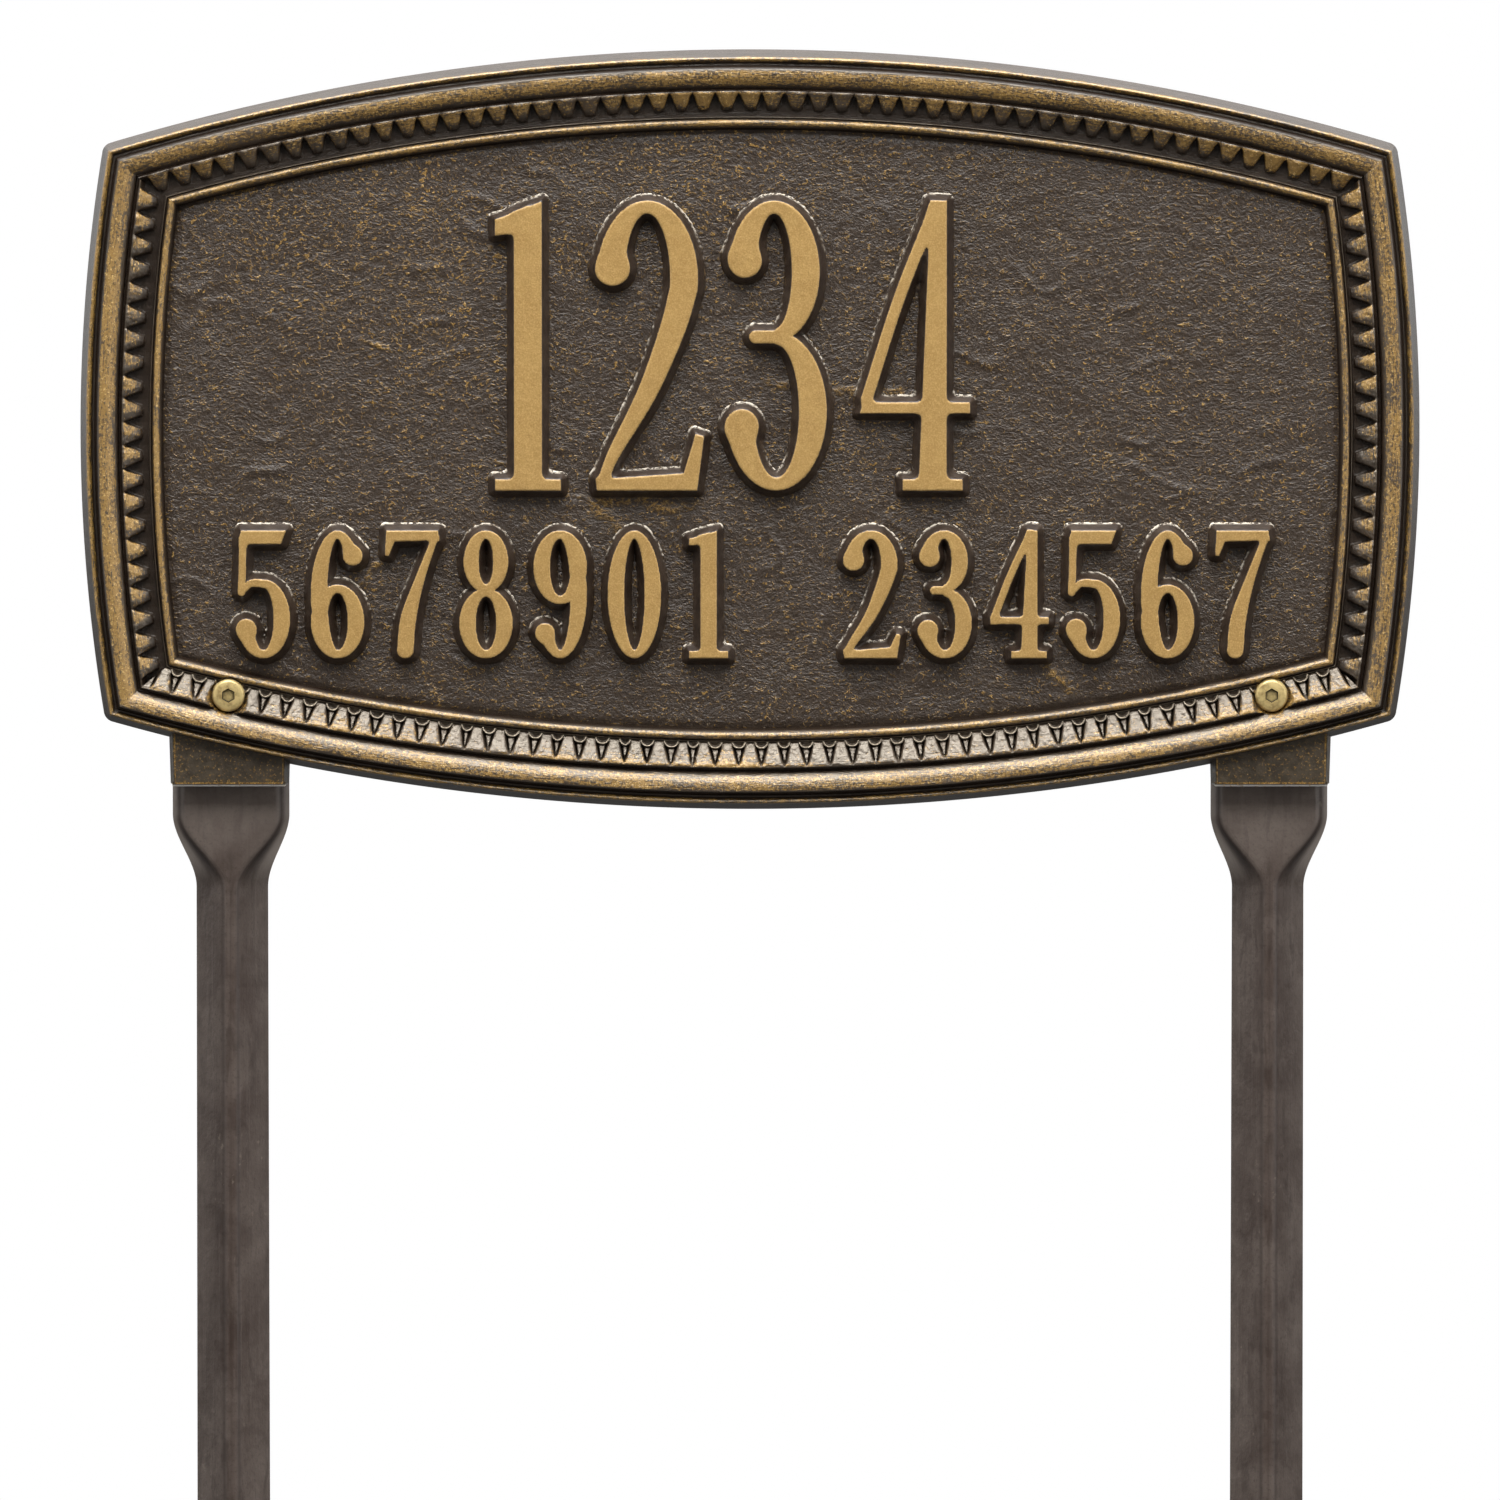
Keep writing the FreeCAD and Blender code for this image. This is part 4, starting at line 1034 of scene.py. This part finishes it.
def build_screw(name, x):
    """Button head with a hexagon socket, and a threaded shank."""
    turns = full_turn(72)
    socket = hexagon(turns, SOCKET_FLAT)
    face, top, rim = -SPOTFACE_LEVEL, -SPOTFACE_LEVEL - HEAD_HEIGHT, HEAD_RADIUS - 1
    floor, end = top + 0.9, face + SCREW_LENGTH
    rings = [(socket * 0, floor), (socket * 0.5, floor), (socket * 0.84, floor), (socket * 0.86, floor - 0.05),
             (socket, top + 0.1), (socket + 0.05, top + 0.02)]
    for share in np.linspace(0.12, 1, 8):
        rings.append((socket * (1 - share) + rim * share, top + 0.02 + 0.2 * share ** 2))
    for angle in np.linspace(0.15, 1, 10) * math.pi / 2:
        rings.append((rim + math.sin(angle), top + 0.22 + 1.2 * (1 - math.cos(angle))))
    rings += [(HEAD_RADIUS, face - 0.15), (HEAD_RADIUS - 0.1, face), (THREAD_RADIUS, face)]
    for y in np.arange(face + 2, end - 0.6, THREAD_PITCH / 6):
        phase = (y / THREAD_PITCH - turns / (2 * np.pi)) % 1
        rings.append((THREAD_RADIUS - THREAD_DEPTH * (1 - np.abs(2 * phase - 1)), y))
    rings += [(1.9, end - 0.5), (1.5, end), (0, end)]
    # painted shade on the socket's floor edge and walls
    grime = np.zeros((len(rings), len(turns)))
    grime[2:5] = [[0.5], [1], [1]]
    return spin(name, x, turns, rings, BRASS, 40, values={"grime": grime}, weld=True)


def build_washer(name, x):
    inner, outer = 2.7, 6
    path = rounded_path([(inner, STAKE_GAUGE, 0.15), (outer, STAKE_GAUGE, 0.25), (outer, WASHER_BACK, 0.35),
                         (inner, WASHER_BACK, 0.15)], closed=True)
    return spin(name, x, full_turn(96), path, PLATED, 35, ring=True)


def build_nut(name, x):
    """A hexagon nut with its corners turned off at both faces."""
    turns = full_turn(120)
    sides = hexagon(turns, NUT_FLAT)
    chamfer = np.minimum(sides, NUT_CORNER) - 0.15
    drop = 0.12 + np.maximum(sides - NUT_CORNER, 0) * 0.6
    front, back, bore, lead = WASHER_BACK, NUT_BACK, 2.42, 2.8
    rings = [(bore, front + 0.4), (lead, front), (chamfer, front), (sides, front + drop), (sides, back - drop),
             (chamfer, back), (lead, back), (bore, back - 0.4)]
    return spin(name, x, turns, rings, PLATED, 30, ring=True)


# ---------- making

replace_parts(build_moulding(), "sign_plaque")
for side in SIDES:
    build_teeth(side)
build_panel()
build_numerals()
for word, x in (("left", -STAKE_X), ("right", STAKE_X)):
    build_lug(f"{word}_lug", x)
    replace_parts(build_stake(f"{word}_folded_stake", x), f"{word}_stake")
    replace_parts(build_screw(f"{word}_button_screw", x), f"{word}_screw")
    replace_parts(build_washer(f"{word}_flat_washer", x), f"{word}_washer")
    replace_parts(build_nut(f"{word}_hexagon_nut", x), f"{word}_nut")


# ---------- floor, light and camera, in metres

def build_floor():
    """A pale floor. What is seen of it runs out to white, and near the object it keeps the shadow."""
    mat = Shader("pale_floor")
    shown = mat.node("LightPath").outputs["Is Camera Ray"]
    mat.finish(Base_Color=mat.mix(shown, (0.05, 0.05, 0.05, 1), (0.86, 0.86, 0.86, 1)), Roughness=0.9)
    glow = mat.node("Emission", {"Color": (1, 1, 1, 1), "Strength": 1})
    reach = mat.node("VectorMath", {0: mat.place}, operation="LENGTH").outputs["Value"]
    share = mat.times(shown, mat.step(reach, 0.35, 1.3, 0.62, 1))
    blend = mat.node("MixShader", {"Fac": share, 1: mat.surface.outputs[0], 2: glow.outputs[0]})
    mat.feed(mat.tree.nodes["Material Output"].inputs["Surface"], blend.outputs[0])
    size, low = 12, TIP_Z * MM
    mesh = bpy.data.meshes.new("floor")
    corners = [(x * size, y * size, low) for x, y in ((-1, -1), (1, -1), (1, 1), (-1, 1))]
    mesh.from_pydata(corners, [], [(0, 1, 2, 3)])
    mesh.materials.append(mat.holder)
    add_object("floor", mesh)


def build_world():
    """White behind for what is seen and mirrored, and a quieter room in front."""
    studio = Shader("studio", "worlds", "Background")
    behind = studio.step(studio.split(studio.coordinates["Generated"])["Y"], -0.7, 0.1, 0.12, 0.8)
    seen = studio.node("LightPath").outputs["Is Camera Ray"]
    bpy.context.scene.world = studio.finish(Color=(1, 1, 1, 1), Strength=studio.most(behind, seen))


def look_at(thing, place, aim):
    thing.location = place
    thing.rotation_euler = (Vector(aim) - Vector(place)).to_track_quat("-Z", "Y").to_euler()


def add_lamp(name, place, aim_z, size, radiance):
    """A soft box, by its radiance. The camera doesn't see it."""
    lamp = bpy.data.lights.new(name, "AREA")
    lamp.shape = "RECTANGLE"
    lamp.size, lamp.size_y = size
    lamp.energy = radiance * math.pi * size[0] * size[1]
    holder = add_object(name, lamp)
    look_at(holder, place, (0, 0, aim_z))
    holder.visible_camera = False


def build_camera():
    """A long lens, level with the plaque's upper part. width is what the picture spans at the plaque."""
    distance, height = 3, 0.415
    aim_z, shift, width = 0.2296, -0.08, 0.4031
    data = bpy.data.cameras.new("camera")
    data.sensor_width = 36
    data.lens = data.sensor_width * distance / width
    data.shift_y = shift
    camera = add_object("camera", data)
    look_at(camera, (0, -distance, height), (0, 0, aim_z - shift * width))
    bpy.context.scene.camera = camera


build_floor()
build_world()
add_lamp("top_light", (0, -0.8, 1.75), 0.3, (1.6, 1.5), 8)
add_lamp("overhead_light", (0, 0.3, 1.9), 0.3, (1.6, 1), 7)
add_lamp("left_fill", (-1.7, -1.2, 0.5), 0.2, (1, 1.4), 1.5)
add_lamp("right_fill", (1.7, -1.2, 0.5), 0.2, (1, 1.4), 2.4)
build_camera()
bpy.context.scene.view_settings.view_transform = "Standard"
